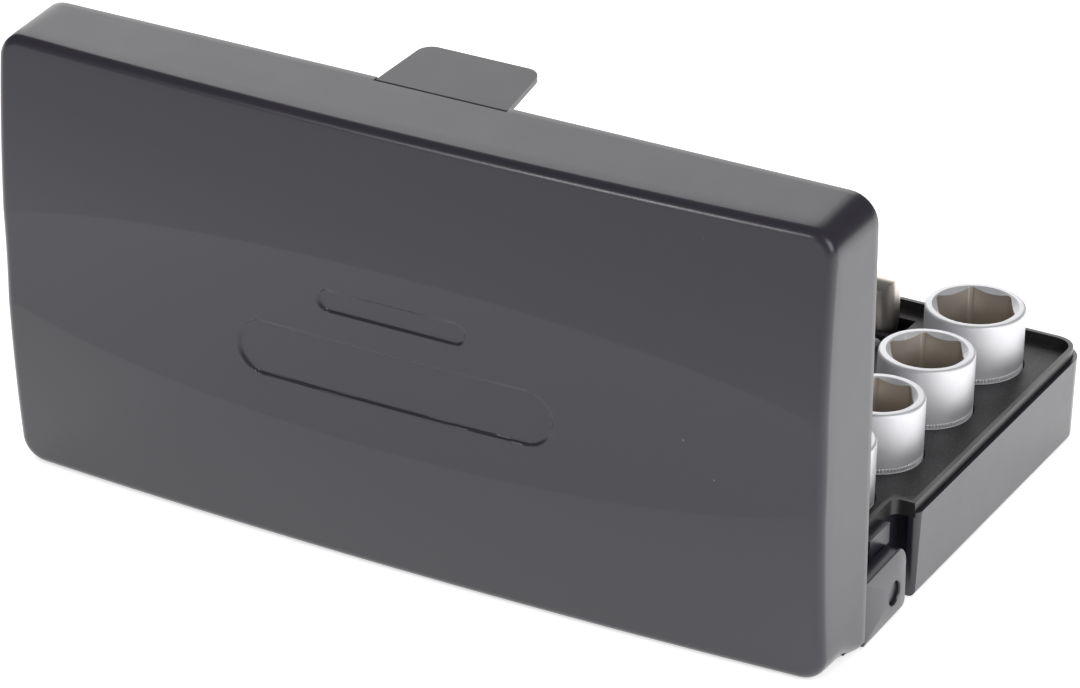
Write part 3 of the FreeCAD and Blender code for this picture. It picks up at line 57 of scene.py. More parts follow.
# ---- mesh tools --------------------------------------------------------------------------
class Surface:
    """Grids of points, in millimetres, that are gathered into one mesh object."""

    def __init__(self, name: str) -> None:
        """Start an empty surface.

        Args:
            name: Name of the piece.
        """
        self.name = name
        self.points: list[np.ndarray] = []
        self.quads: list[np.ndarray] = []
        self.caps: list[np.ndarray] = []
        self.finishes: list[np.ndarray] = []
        self.count = 0

    def grid(self, points: np.ndarray, wrap: bool = False, flip: bool = False, finish: int = 0) -> np.ndarray:
        """Add a grid of points as quads.

        Args:
            points: Array of rows by columns by 3; a quad joins each four neighbours.
            wrap: Whether the last column joins the first.
            flip: Whether the faces look the other way.
            finish: Which of the piece's materials the quads take.

        Returns:
            The index of each grid point.
        """
        rows, columns = points.shape[:2]
        index = self.count + np.arange(rows * columns).reshape(rows, columns)
        ring = np.concatenate([index, index[:, :1]], 1) if wrap else index
        quads = np.stack([ring[:-1, :-1], ring[:-1, 1:], ring[1:, 1:], ring[1:, :-1]], -1).reshape(-1, 4)
        self.points.append(points.reshape(-1, 3))
        self.quads.append(quads[:, ::-1] if flip else quads)
        self.finishes.append(np.full(len(quads), finish))
        self.count += rows * columns
        return index

    def cap(self, ring: np.ndarray, flip: bool = False) -> None:
        """Close a flat ring of points with one face.

        Args:
            ring: Indices of the ring's points, in order.
            flip: Whether the face looks the other way.
        """
        self.caps.append(ring[::-1] if flip else ring)

    def build(self, body: str, *nodes: str, turn: Matrix | None = None,
              sharp: float = 30.0) -> bpy.types.Object:
        """Make the mesh object, which rides on a body and may stand for nodes.

        Args:
            body: Body that the piece moves with.
            nodes: Nodes that the piece replaces.
            turn: Placement of the points, in millimetres.
            sharp: Angle in degrees above which an edge stays sharp.

        Returns:
            The new object.
        """
        points = np.concatenate(self.points)
        if turn is not None:
            matrix = np.array(turn)
            points = points @ matrix[:3, :3].T + matrix[:3, 3]
        faces = [tuple(quad) for block in self.quads for quad in block.tolist()]
        faces += [tuple(cap.tolist()) for cap in self.caps]
        mesh = bpy.data.meshes.new(self.name)
        mesh.from_pydata((points * MM).tolist(), [], faces)
        finishes = np.concatenate(self.finishes + [np.zeros(len(self.caps), dtype=int)])
        mesh.polygons.foreach_set("material_index", finishes.astype(np.int32))
        shape = bmesh.new()
        shape.from_mesh(mesh)
        bmesh.ops.remove_doubles(shape, verts=shape.verts, dist=MERGE)
        bmesh.ops.dissolve_degenerate(shape, edges=shape.edges, dist=THIN)
        shape.to_mesh(mesh)
        shape.free()
        mesh.polygons.foreach_set("use_smooth", np.ones(len(mesh.polygons), dtype=bool))
        mesh.set_sharp_from_angle(angle=math.radians(sharp))
        piece = bpy.data.objects.new(self.name, mesh)
        bpy.context.scene.collection.objects.link(piece)
        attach(piece, body)
        if nodes:
            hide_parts(*nodes)
        log.info("%s: %d faces", self.name, len(mesh.polygons))
        return piece


def at_height(ring: np.ndarray, height: np.ndarray | float) -> np.ndarray:
    """Lift plan points to a height.

    Args:
        ring: Plan points, columns by 2.
        height: One height, or one for each point.

    Returns:
        Points, columns by 3.
    """
    return np.concatenate([ring, np.broadcast_to(height, ring.shape[:1])[:, None]], 1)


@dataclass(frozen=True)
class Outline:
    """A closed plan outline of straight sides and round corners, counter-clockwise.

    Offset by d, each side moves inwards by d along its normal, and each corner's radius
    shrinks by d where the outline turns left and grows by d where it turns right, so
    rings of one outline at different offsets have matching points.
    """

    corners: tuple[tuple[float, float, float], ...]
    arc_steps: int = 10
    spacing: float = 3.0

    def ring(self, offset: float = 0.0) -> np.ndarray:
        """Points of the outline moved inwards.

        Args:
            offset: How far each side moves inwards.

        Returns:
            Plan points, columns by 2.
        """
        data = np.array(self.corners)
        corner, radius = data[:, :2], data[:, 2]
        ahead = np.roll(corner, -1, 0) - corner
        length = np.linalg.norm(ahead, axis=1)
        ahead = ahead / length[:, None]
        behind = np.roll(ahead, 1, 0)
        inward_in = np.stack([-behind[:, 1], behind[:, 0]], 1)
        inward_out = np.stack([-ahead[:, 1], ahead[:, 0]], 1)
        turn = behind[:, 0] * ahead[:, 1] - behind[:, 1] * ahead[:, 0]
        sign = np.where(turn >= 0, 1.0, -1.0)
        fit = np.maximum(radius - sign * offset, LEAST_RADIUS)
        middle = (inward_in + inward_out) / (1 + np.sum(inward_in * inward_out, 1, keepdims=True))
        centre = corner + middle * (offset + sign * fit)[:, None]
        start = np.arctan2(inward_in[:, 1], inward_in[:, 0])
        sweep = np.arctan2(turn, np.sum(behind * ahead, 1))
        angle = start[:, None] + sweep[:, None] * np.linspace(0, 1, self.arc_steps)
        normal = np.stack([np.cos(angle), np.sin(angle)], -1)
        arcs = centre[:, None] - normal * (sign * fit)[:, None, None]
        pieces = []
        for i, span in enumerate(length):
            pieces.append(arcs[i])
            steps = max(int(span / self.spacing), 1)
            share = np.linspace(0, 1, steps + 1)[1:-1, None]
            pieces.append(arcs[i, -1] * (1 - share) + arcs[(i + 1) % len(length), 0] * share)
        return np.concatenate(pieces)


def smooth_step(low: float, high: float, value: np.ndarray) -> np.ndarray:
    """Zero below low, one above high, and 3t^2 - 2t^3 between them."""
    share = np.clip((value - low) / (high - low), 0, 1)
    return share * share * (3 - 2 * share)


# ---- shader tools ------------------------------------------------------------------------
class Sock:
    """A node socket whose operators add Math nodes to its tree."""

    def __init__(self, tree: bpy.types.NodeTree, link: bpy.types.NodeSocket) -> None:
        """Wrap a socket.

        Args:
            tree: Tree that new nodes go into.
            link: The output socket.
        """
        self.tree = tree
        self.link = link

    def _math(self, operation: str, *values: "Sock | float") -> "Sock":
        """Add a Math node.

        Args:
            operation: The node's operation.
            values: Its inputs in order.

        Returns:
            Its result.
        """
        node = self.tree.nodes.new("ShaderNodeMath")
        node.operation = operation
        for i, value in enumerate(values):
            if isinstance(value, Sock):
                self.tree.links.new(value.link, node.inputs[i])
            else:
                node.inputs[i].default_value = value
        return Sock(self.tree, node.outputs[0])

    def __add__(self, other: "Sock | float") -> "Sock":
        """Sum."""
        return self._math("ADD", self, other)

    def __radd__(self, other: float) -> "Sock":
        """Sum with a number first."""
        return self._math("ADD", other, self)

    def __sub__(self, other: "Sock | float") -> "Sock":
        """Difference."""
        return self._math("SUBTRACT", self, other)

    def __rsub__(self, other: float) -> "Sock":
        """Difference from a number."""
        return self._math("SUBTRACT", other, self)

    def __mul__(self, other: "Sock | float") -> "Sock":
        """Product."""
        return self._math("MULTIPLY", self, other)

    def step(self, low: float, high: float) -> "Sock":
        """Rise from zero at low to one at high, and stay within that."""
        node = self.tree.nodes.new("ShaderNodeMapRange")
        node.interpolation_type = "SMOOTHSTEP"
        self.tree.links.new(self.link, node.inputs["Value"])
        node.inputs["From Min"].default_value = low
        node.inputs["From Max"].default_value = high
        return Sock(self.tree, node.outputs["Result"])


class Nodes:
    """A node tree that nodes are added to."""

    def __init__(self, tree: bpy.types.NodeTree) -> None:
        """Hold a tree.

        Args:
            tree: The tree.
        """
        self.tree = tree

    def node(self, kind: str, output: str | int = 0, settings: dict | None = None, **values: object) -> Sock:
        """Add a node.

        Args:
            kind: The node's type, without its ShaderNode prefix.
            output: Which output is returned.
            settings: Properties that are set first; stops fills a colour ramp.
            values: Values or sockets of its inputs, with underscores for spaces, or i and a number.

        Returns:
            The chosen output.
        """
        node = self.tree.nodes.new("ShaderNode" + kind)
        for key, value in (settings or {}).items():
            if key == "stops":
                ramp = node.color_ramp.elements
                while len(ramp) < len(value):
                    ramp.new(0.5)
                for element, (place, colour) in zip(ramp, value):
                    element.position, element.color = place, colour
            else:
                setattr(node, key, value)
        for key, value in values.items():
            socket = node.inputs[int(key[1:])] if key[0] == "i" and key[1:].isdigit() \
                else node.inputs[key.replace("_", " ")]
            if isinstance(value, Sock):
                self.tree.links.new(value.link, socket)
            else:
                socket.default_value = value
        return Sock(self.tree, node.outputs[output])


class Shader(Nodes):
    """One material's node tree, with its Principled shader."""

    def __init__(self, name: str, **constants: object) -> None:
        """Make a material.

        Args:
            name: Name of the material.
            constants: Values of the shader's sockets, with underscores for spaces.
        """
        self.material = bpy.data.materials.new(name)
        self.material.use_nodes = True
        super().__init__(self.material.node_tree)
        self.surface = self.tree.nodes["Principled BSDF"]
        for key, value in constants.items():
            self.surface.inputs[key.replace("_", " ")].default_value = value

    def place(self) -> Sock:
        """Object coordinates, in metres."""
        return self.node("TexCoord", "Object")

    def axis(self, name: str) -> Sock:
        """One object coordinate in millimetres.

        Args:
            name: X, Y or Z.

        Returns:
            The coordinate.
        """
        return self.node("SeparateXYZ", name, Vector=self.place()) * 1000.0

    def noise(self, scale: float, detail: float = 3.0, roughness: float = 0.5,
              stretch: tuple[float, float, float] = (1.0, 1.0, 1.0)) -> Sock:
        """Noise in object space.

        Args:
            scale: Its features per metre.
            detail: Its octaves.
            roughness: How strong its fine octaves are.
            stretch: Scale along each axis.

        Returns:
            Noise from zero to one, with its mean near a half.
        """
        where = self.node("Mapping", Vector=self.place(), Scale=stretch)
        return self.node("TexNoise", "Fac", Vector=where, Scale=scale, Detail=detail, Roughness=roughness)

    def mix(self, share: Sock | float, first: tuple | Sock, second: tuple | Sock) -> Sock:
        """Mix two colours.

        Args:
            share: Zero gives the first, one the second.
            first: Colour or socket.
            second: Colour or socket.

        Returns:
            The mixed colour.
        """
        return self.node("Mix", 2, {"data_type": "RGBA"}, i0=share, i6=first, i7=second)

    def bump(self, height: Sock, strength: float, distance: float, under: Sock | None = None) -> Sock:
        """Turn a height into a normal.

        Args:
            height: Height from zero to one.
            strength: Share of the bump.
            distance: Height in metres that one stands for.
            under: Normal of a coarser bump below this one.

        Returns:
            The normal.
        """
        values = {"Height": height, "Strength": strength, "Distance": distance}
        if under is not None:
            values["Normal"] = under
        return self.node("Bump", "Normal", **values)

    def feed(self, **sockets: Sock) -> None:
        """Link sockets to the shader's inputs, with underscores for spaces."""
        for key, value in sockets.items():
            self.tree.links.new(value.link, self.surface.inputs[key.replace("_", " ")])

    def dress(self, *pieces: bpy.types.Object) -> None:
        """Give this material to every slot of some pieces.

        Args:
            pieces: Objects to dress.
        """
        for piece in pieces:
            if not piece.data.materials:
                piece.data.materials.append(self.material)
            for slot in piece.material_slots:
                slot.material = self.material

    def add_to(self, piece: bpy.types.Object) -> None:
        """Give this material to a piece as its next one."""
        piece.data.materials.append(self.material)


def tinted(value: float, tint: tuple[float, float, float] = (1.0, 1.0, 1.0)) -> tuple[float, ...]:
    """A linear grey.

    Args:
        value: Its brightness.
        tint: Share of red, green and blue.

    Returns:
        The colour.
    """
    return (*(value * share for share in tint), 1.0)


@dataclass(frozen=True)
class MouldFinish:
    """A moulded plastic: slow tone changes, fine mould grain, specks of dust and, where set, painted sparkle
    highlights on the grain's raised tops.
    """

    tone: float
    tint: tuple[float, float, float]
    roughness: float
    grain: float
    grain_scale: float
    specks: float = 0.0
    coat: float = 0.0
    grain_height: float = 0.00004
    painted_grain_sparkle: float = 0.0

    def make(self, name: str) -> Shader:
        """Build the material.

        Args:
            name: Name of the material.

        Returns:
            The shader.
        """
        shader = Shader(name, IOR=1.54, Coat_Weight=self.coat, Coat_Roughness=0.12)
        slow = shader.noise(22.0, 2.0)
        cloud = shader.noise(160.0, 4.0, 0.6)
        colour = shader.mix(slow, tinted(self.tone * 0.95, self.tint), tinted(self.tone * 1.05, self.tint))
        colour = shader.mix(cloud.step(0.35, 0.75) * 0.35, colour, tinted(self.tone * 1.08, self.tint))
        rough = self.roughness + (cloud - 0.5) * 0.08 + (slow - 0.5) * 0.06
        if self.specks:
            dust = shader.node("TexVoronoi", "Distance", Vector=shader.place(), Scale=210.0)
            pick = shader.noise(48.0, 1.0)
            speck = (1 - dust.step(0.02, 0.045)) * pick.step(0.62, 0.68)
            colour = shader.mix(speck * self.specks, colour, tinted(0.5))
            scratch = shader.noise(900.0, 1.0, 0.5, (0.05, 1.0, 1.3))
            rough = rough + scratch.step(0.76, 0.84) * 0.06
        fine = shader.noise(self.grain_scale, 2.0, 0.6)
        # Painted sparkle: the grain's raised tops are lightened in colour, standing in for glints of light on
        # the grain.
        colour = shader.mix(fine.step(0.5, 0.72) * self.painted_grain_sparkle, colour, tinted(self.tone * 5, self.tint))
        normal = shader.bump(fine, self.grain, self.grain_height, shader.bump(slow, 0.05, 0.0004))
        shader.feed(Base_Color=colour, Roughness=rough, Normal=normal)
        return shader


@dataclass(frozen=True)
class MetalFinish:
    """A plated or bare metal: turned lines, handling marks and duller patches."""

    tone: float
    tint: tuple[float, float, float]
    roughness: float
    lines: float
    metallic: float = 1.0

    def make(self, name: str) -> Shader:
        """Build the material.

        Args:
            name: Name of the material.

        Returns:
            The shader.
        """
        shader = Shader(name, Metallic=self.metallic)
        patch = shader.noise(120.0, 3.0)
        turned = shader.noise(900.0, 2.0, 0.6, (0.08, 0.08, 1.0))
        marks = shader.noise(2600.0, 2.0, 0.6, (1.0, 0.35, 0.2))
        colour = shader.mix(patch.step(0.3, 0.7), tinted(self.tone * 0.92, self.tint),
                            tinted(self.tone, self.tint))
        rough = self.roughness + (patch - 0.5) * 0.12 + (turned - 0.5) * 0.10 + marks.step(0.62, 0.75) * 0.06
        shader.feed(Base_Color=colour, Roughness=rough, Normal=shader.bump(turned, self.lines, 0.00003))
        return shader


class Finish(Enum):
    """The finishes of the case and of its tools."""

    CASE_PLASTIC = MouldFinish(0.019, (1.05, 0.95, 1.35), 0.3, 0.25, 3200.0, specks=0.35)
    INSERT_PLASTIC = MouldFinish(0.010, (1.15, 0.96, 1.08), 0.5, 0.6, 2600.0,
                                 grain_height=0.00006, painted_grain_sparkle=0.7)
    LIP_PLASTIC = MouldFinish(0.018, (1.08, 1.0, 1.0), 0.38, 0.3, 2600.0)
    HANDLE_PLASTIC = MouldFinish(0.06, (0.98, 1.0, 1.02), 0.3, 0.1, 2000.0, coat=0.4)
    SATIN_CHROME = MetalFinish(0.79, (1.0, 1.0, 1.03), 0.52, 0.12, metallic=0.75)
    BROACHED_STEEL = MetalFinish(0.62, (1.08, 1.0, 0.9), 0.42, 0.2)
    GRIP_STEEL = MetalFinish(0.7, (1.07, 1.0, 0.92), 0.4, 0.12)

    def make(self) -> Shader:
        """Build the finish's material."""
        return self.value.make(self.name.lower())


# ---- lid ---------------------------------------------------------------------------------
@dataclass
class Lid:
    """The lid: a drafted wall, a crowned face with a hollow band and two blank recesses."""

    half_x: float = 85.0
    half_y: float = 45.0
    corner: float = 5.5
    rim: float = 17.5
    height: float = 15.5
    draft: float = 2.0
    edge: float = 2.0
    wall: float = 1.8
    step: float = 0.6
    step_height: float = 2.3
    crown_long: float = 2.6
    crown_short: float = 2.8
    band: float = 18.1
    band_end: float = 8.4
    band_depth: float = 1.2
    roof_inset: float = 2.9
    roof_round: float = 1.6
    roof_margin: float = 4.5
    plate_depth: float = 0.5
    plate_flank: tuple[float, float] = (-0.42, 0.05)
    plate: tuple[float, float, float] = (65.0, 11.0, 3.9)
    small_plate: tuple[float, float, float] = (30.5, 4.6, -9.3)
    hinge_y: float = 40.0
    hinge_z: float = 5.4186
    arm_thickness: float = 3.0
    arm_back: float = 4.9
    arm_front: float = 8.4
    arm_corner: float = 1.8
    arm_blend: float = 9.0
    arm_toe: float = 4.3
    arm_heel: float = 1.5
    arm_root: float = 7.0
    arm_overlap: float = 0.4
    bore: float = 2.28
    patch_offset: float = 3.2
    slot_half: float = 13.47
    slot_depth: float = 1.54
    slot_height: float = 1.57
    boss: float = 2.2
    boss_half: float = 15.57
    boss_low_half: float = 15.01
    boss_height: float = 4.3

    def __post_init__(self) -> None:
        """Work out the radii of the crown and of the band."""
        self.top = self.rim + self.height + self.crown_long + self.crown_short
        self.long_radius = (2 * self.half_x) ** 2 / (8 * self.crown_long)
        self.short_radius = (2 * self.half_y) ** 2 / (8 * self.crown_short)
        self.scoop = 1 / (2 * self.band_depth / self.band ** 2 - 1 / self.short_radius)
        end_depth = self.band_depth * self.band_end ** 2 / self.band ** 2
        self.inner = (2 * self.half_x) ** 2 / (8 * (self.crown_long - self.band_depth + end_depth))
        lean = math.radians(90 + self.draft)
        self.turn = Matrix.Translation((0, self.hinge_y, self.hinge_z)) @ Matrix.Rotation(-lean, 4, "X") \
            @ Matrix.Translation((0, -self.hinge_y, -self.hinge_z))

    def crown(self, x: np.ndarray, y: np.ndarray, inset: float = 0.0) -> np.ndarray:
        """Height of a torus about the Y direction: an arc across swept along a larger arc.

        Args:
            x: Places along the lid.
            y: Places across the lid.
            inset: How far below the crown.

        Returns:
            Heights.
        """
        tube = np.sqrt((self.short_radius - inset) ** 2 - y * y)
        reach = self.long_radius - self.short_radius + tube
        return self.top - self.long_radius + np.sqrt(reach * reach - x * x)

    def hollow(self, x: np.ndarray, y: np.ndarray) -> np.ndarray:
        """Height of the band's saddle: an arc that is hollow across, swept along a larger arc.

        Args:
            x: Places along the lid.
            y: Places across the lid.

        Returns:
            Heights.
        """
        reach = self.inner + self.scoop - np.sqrt(self.scoop ** 2 - y * y)
        return self.top - self.band_depth - self.inner + np.sqrt(reach * reach - x * x)

    def pill(self, x: np.ndarray, y: np.ndarray, size: tuple[float, float, float]) -> np.ndarray:
        """Signed distance from a recess with round ends, negative inside.

        Args:
            x: Places along the lid.
            y: Places across the lid.
            size: Its length, its width and its middle along Y.

        Returns:
            Distances.
        """
        length, width, middle = size
        along = np.maximum(np.abs(x) - (length - width) / 2, 0)
        return np.hypot(along, y - middle) - width / 2

    def face(self, x: np.ndarray, y: np.ndarray) -> np.ndarray:
        """Height of the outer face: the lower of crown and band, less the recesses.

        Args:
            x: Places along the lid.
            y: Places across the lid.

        Returns:
            Heights.
        """
        height = np.minimum(self.crown(x, y), self.hollow(x, y))
        for size in (self.plate, self.small_plate):
            height = height - self.plate_depth * (1 - smooth_step(*self.plate_flank, self.pill(x, y, size)))
        return height

    def band_edge(self, x: np.ndarray) -> np.ndarray:
        """Half width of the band, where crown and band meet, found by halving steps.

        Args:
            x: Places along the lid.

        Returns:
            Places across the lid.
        """
        low, high = np.full_like(x, 0.5), np.full_like(x, 40.0)
        for _ in range(40):
            middle = (low + high) / 2
            inside = self.crown(x, middle) > self.hollow(x, middle)
            low, high = np.where(inside, middle, low), np.where(inside, high, middle)
        return (low + high) / 2

    def face_patch(self, surface: Surface) -> None:
        """Add the face: columns along X, and across each column bands that follow the creases.

        Args:
            surface: Surface that takes the grid.
        """
        half_x, half_y = self.half_x - self.patch_offset, self.half_y - self.patch_offset
        radius = self.corner - self.patch_offset
        ends = half_x - radius * (1 - np.sin(np.linspace(0, math.pi / 2, 9)))
        fine = np.concatenate([np.arange(12.0, 16.0, 0.25), np.arange(26.0, 33.6, 0.25)])
        coarse = np.concatenate([np.arange(0.0, 12.0, 1.0), np.arange(16.0, 26.0, 1.0),
                                 np.arange(34.0, half_x - radius - 0.2, 1.2)])
        right = np.unique(np.concatenate([fine, coarse, ends]).round(4))
        x = np.concatenate([-right[::-1], right[right > 0]])
        past = np.maximum(np.abs(x) - half_x + radius, 0)
        reach = half_y - radius + np.sqrt(np.maximum(radius ** 2 - past ** 2, 0))
        crease = np.minimum(self.band_edge(x), reach - 0.5)
        near = 0.3
        outer = np.linspace(0, 1, 22)
        low, high = self.small_plate, self.plate
        inner = np.unique(np.concatenate([
            np.arange(-17.0, 17.1, 1.0),
            np.arange(low[2] - low[1] / 2 - 0.8, low[2] + low[1] / 2 + 0.8, 0.25),
            np.arange(high[2] - high[1] / 2 - 1.0, high[2] - high[1] / 2 + 2.0, 0.25),
            np.arange(high[2] + high[1] / 2 - 2.0, high[2] + high[1] / 2 + 1.0, 0.25),
            np.arange(high[2] - high[1] / 2 + 2.0, high[2] + high[1] / 2 - 2.0, 0.5)]).round(3)) / self.band
        lower = -reach[None] + (reach - crease - near)[None] * outer[:, None]
        middle = inner[:, None] * crease[None]
        upper = (crease + near)[None] + (reach - crease - near)[None] * outer[:, None]
        y = np.concatenate([lower, -crease[None], -crease[None] + near, middle[1:-1],
                            crease[None] - near, crease[None], upper])
        columns = np.broadcast_to(x, y.shape)
        surface.grid(np.stack([columns, y, self.face(columns, y)], -1))

    def outline(self, half: float, depth: float, level: float = math.inf) -> Outline:
        """The lid's outline with a step inwards at the middle of its latch side.

        Its hinge-side corners are tighter at the rim, where the arms join them, and widen
        to the others' radius over their blend by a smooth step of the level.

        Args:
            half: Half length of the step.
            depth: Depth of the step.
            level: Height above the rim.

        Returns:
            The outline.
        """
        low = -self.half_y
        front = ((-self.half_x, low, self.corner), (-half, low, 0.1), (-half + 0.001, low + depth, 0.1),
                 (half - 0.001, low + depth, 0.1), (half, low, 0.1))
        share = float(smooth_step(0.0, self.arm_blend, np.array(min(level, self.arm_blend))))
        rear = self.arm_corner + (self.corner - self.arm_corner) * share
        back = ((self.half_x, low, self.corner), (self.half_x, self.half_y, rear),
                (-self.half_x, self.half_y, rear))
        return Outline(front + back, 10, 2.0)

    def skirt(self, surface: Surface) -> None:
        """Add the walls: a profile carried round the outline.

        The profile runs from the inner face over the inner wall, the rim's step, the rim,
        the drafted outer wall and the rounded edge onto the outer face. The latch boss keeps
        one width on it: each ring's outline is narrower by as much as the ring moves inwards.
        At the step that is true to 0.04 mm, which keeps as many points in each ring.

        Args:
            surface: Surface that takes the grid.
        """
        lean = math.tan(math.radians(self.draft))
        inner_top = self.boss_height + self.rim
        rows = []

        def row(offset: float, height: float, half: float, depth: float) -> None:
            """Add one ring of the profile at a fixed height."""
            rows.append(at_height(self.outline(half, depth, height - self.rim).ring(offset), height))

        plain = self.outline(self.boss_half, 0.0)
        wall_top = self.rim + self.height - 3.0
        ring = plain.ring(self.wall + self.roof_margin)
        rows.append(at_height(ring, self.crown(ring[:, 0], ring[:, 1], self.roof_inset)))
        for share in np.linspace(0, 1, 7):
            angle = share * math.pi / 2
            offset = self.wall + lean * (wall_top - self.rim) + self.roof_round * (1 - math.sin(angle))
            ring = plain.ring(offset)
            roof = self.crown(ring[:, 0], ring[:, 1], self.roof_inset)
            rows.append(at_height(ring, roof - self.roof_round * (1 - math.cos(angle))))
        inside = self.wall + lean * self.boss_height
        row(inside, inner_top, self.boss_half - inside, 0.0)
        row(inside, inner_top, self.boss_half - inside, self.boss - self.wall)
        row(self.wall + 0.08, self.rim + self.step_height + 0.1, self.boss_half - self.wall,
            self.boss - self.wall)
        row(self.wall, self.rim + self.step_height, self.boss_half - self.wall, self.boss - self.wall)
        row(self.step, self.rim + self.step_height, self.boss_low_half, self.boss - self.step)
        row(self.step, self.rim + 0.12, self.boss_low_half, self.boss - self.step)
        row(self.step - 0.1, self.rim, self.boss_low_half, self.boss - self.step)
        row(0.14, self.rim, self.slot_half, self.slot_depth)
        row(0.03, self.rim + 0.05, self.slot_half, self.slot_depth)
        row(0.0, self.rim + 0.16, self.slot_half, self.slot_depth)
        slot_top = self.rim + self.slot_height
        row(lean * self.slot_height, slot_top, self.slot_half, self.slot_depth)
        row(lean * self.slot_height, slot_top, self.slot_half, 0.0)
        for height in np.linspace(slot_top + 1.0, self.rim + self.height - 2.4, 8):
            row(lean * (height - self.rim), height, self.slot_half, 0.0)
        outer = self.outline(self.slot_half, 0.0)
        start = lean * self.height
        ring = outer.ring(start)
        corner_z = self.face(ring[:, 0], ring[:, 1])
        start = float(np.mean(lean * (corner_z - self.rim)))
        further = outer.ring(start + 2.0)
        slope = np.arctan2(self.face(further[:, 0], further[:, 1]) - corner_z, 2.0)
        down = np.array([-math.sin(math.radians(self.draft)), -math.cos(math.radians(self.draft))])
        across = np.stack([np.cos(slope), np.sin(slope)], 1)
        between = np.arccos(across @ down)
        tangent = self.edge / np.tan(between / 2)
        middle = (across + down) / np.linalg.norm(across + down, axis=1)[:, None]
        centre = middle * (self.edge / np.sin(between / 2))[:, None]
        first, last = down * tangent[:, None] - centre, across * tangent[:, None] - centre
        omega = math.pi - between
        inward = (outer.ring(start + 1.0) - outer.ring(start))
        base = outer.ring(start)
        for share in np.linspace(0, 1, 12):
            point = centre + (np.sin((1 - share) * omega)[:, None] * first
                              + np.sin(share * omega)[:, None] * last) / np.sin(omega)[:, None]
            plan = base + inward * point[:, :1]
            rows.append(at_height(plan, corner_z + point[:, 1]))
        ring = outer.ring(self.patch_offset + 0.03)
        rows.append(at_height(ring, self.face(ring[:, 0], ring[:, 1])))
        surface.grid(np.stack(rows), wrap=True, flip=True)

    def inner_face(self, surface: Surface) -> None:
        """Add the inner face: a crowned grid across the inside.

        Args:
            surface: Surface that takes the grid.
        """
        offset = self.wall + self.roof_margin - 0.1
        x, y = np.meshgrid(np.linspace(-1, 1, 60) * (self.half_x - offset),
                           np.linspace(-1, 1, 34) * (self.half_y - offset))
        surface.grid(np.stack([x, y, self.crown(x, y, self.roof_inset)], -1), flip=True)

    def arm(self, surface: Surface, side: float) -> None:
        """Add a hinge arm: a plate with a rounded outline and a bore.

        Args:
            surface: Surface that takes the grids.
            side: -1 or 1 for the end of the lid.
        """
        low_z = self.hinge_z - self.arm_back
        low_y, high_y = self.hinge_y - self.arm_front, self.hinge_y + self.arm_back
        sketch = Outline(((low_y, low_z, self.arm_toe), (high_y, low_z, self.arm_heel),
                          (high_y - 0.15, self.rim + self.arm_overlap, 0.3),
                          (low_y, self.rim + self.arm_overlap, 0.3)), 12, 1.0)
        angle = None
        levels = []
        thick = self.arm_thickness
        for offset, depth in ((0.0, None), (0.45, 0.0), (0.2, 0.07), (0.05, 0.2), (0.0, 0.45),
                              (0.0, thick - 0.3), (0.08, thick - 0.08), (0.3, thick)):
            ring = sketch.ring(offset)
            if angle is None:
                angle = np.arctan2(ring[:, 1] - self.hinge_z, ring[:, 0] - self.hinge_y)
                continue
            levels.append((ring, depth))
        circle = np.stack([self.hinge_y + self.bore * np.cos(angle),
                           self.hinge_z + self.bore * np.sin(angle)], 1)
        wide = circle + (circle - np.array([self.hinge_y, self.hinge_z])) * (0.2 / self.bore)
        levels = [(circle, thick), (circle, 0.25), (wide, 0.0)] + levels + [(circle, thick)]
        outer_x = self.half_x - 0.02
        rows = [np.stack([np.full(len(ring), side * (outer_x - depth)), ring[:, 0], ring[:, 1]], 1)
                for ring, depth in levels]
        surface.grid(np.stack(rows), wrap=True, flip=side > 0)
        root = Outline(((low_y + 0.3, self.rim + 0.2, 0.2), (high_y - 1.8, self.rim + 0.2, 0.2),
                        (high_y - 1.8, self.rim + self.arm_root, 0.2),
                        (low_y + 2.0, self.rim + self.arm_root, 1.5)), 6, 1.0)
        rows = []
        for offset, depth in ((0.0, 1.0), (0.0, thick - 0.15), (0.15, thick)):
            ring = root.ring(offset)
            across = np.full(len(ring), side * (self.half_x - depth))
            rows.append(np.stack([across, ring[:, 0], ring[:, 1]], 1))
        index = surface.grid(np.stack(rows), wrap=True, flip=side > 0)
        surface.cap(index[-1], flip=side > 0)

    def build(self, shell: Shader) -> None:
        """Build and dress the lid.

        Args:
            shell: Finish of the case's shells.
        """
        surface = Surface("lid_cover")
        self.face_patch(surface)
        self.skirt(surface)
        self.inner_face(surface)
        for side in (-1.0, 1.0):
            self.arm(surface, side)
        piece = surface.build("lid", "lid_shell", turn=self.turn, sharp=32)
        shell.dress(piece)


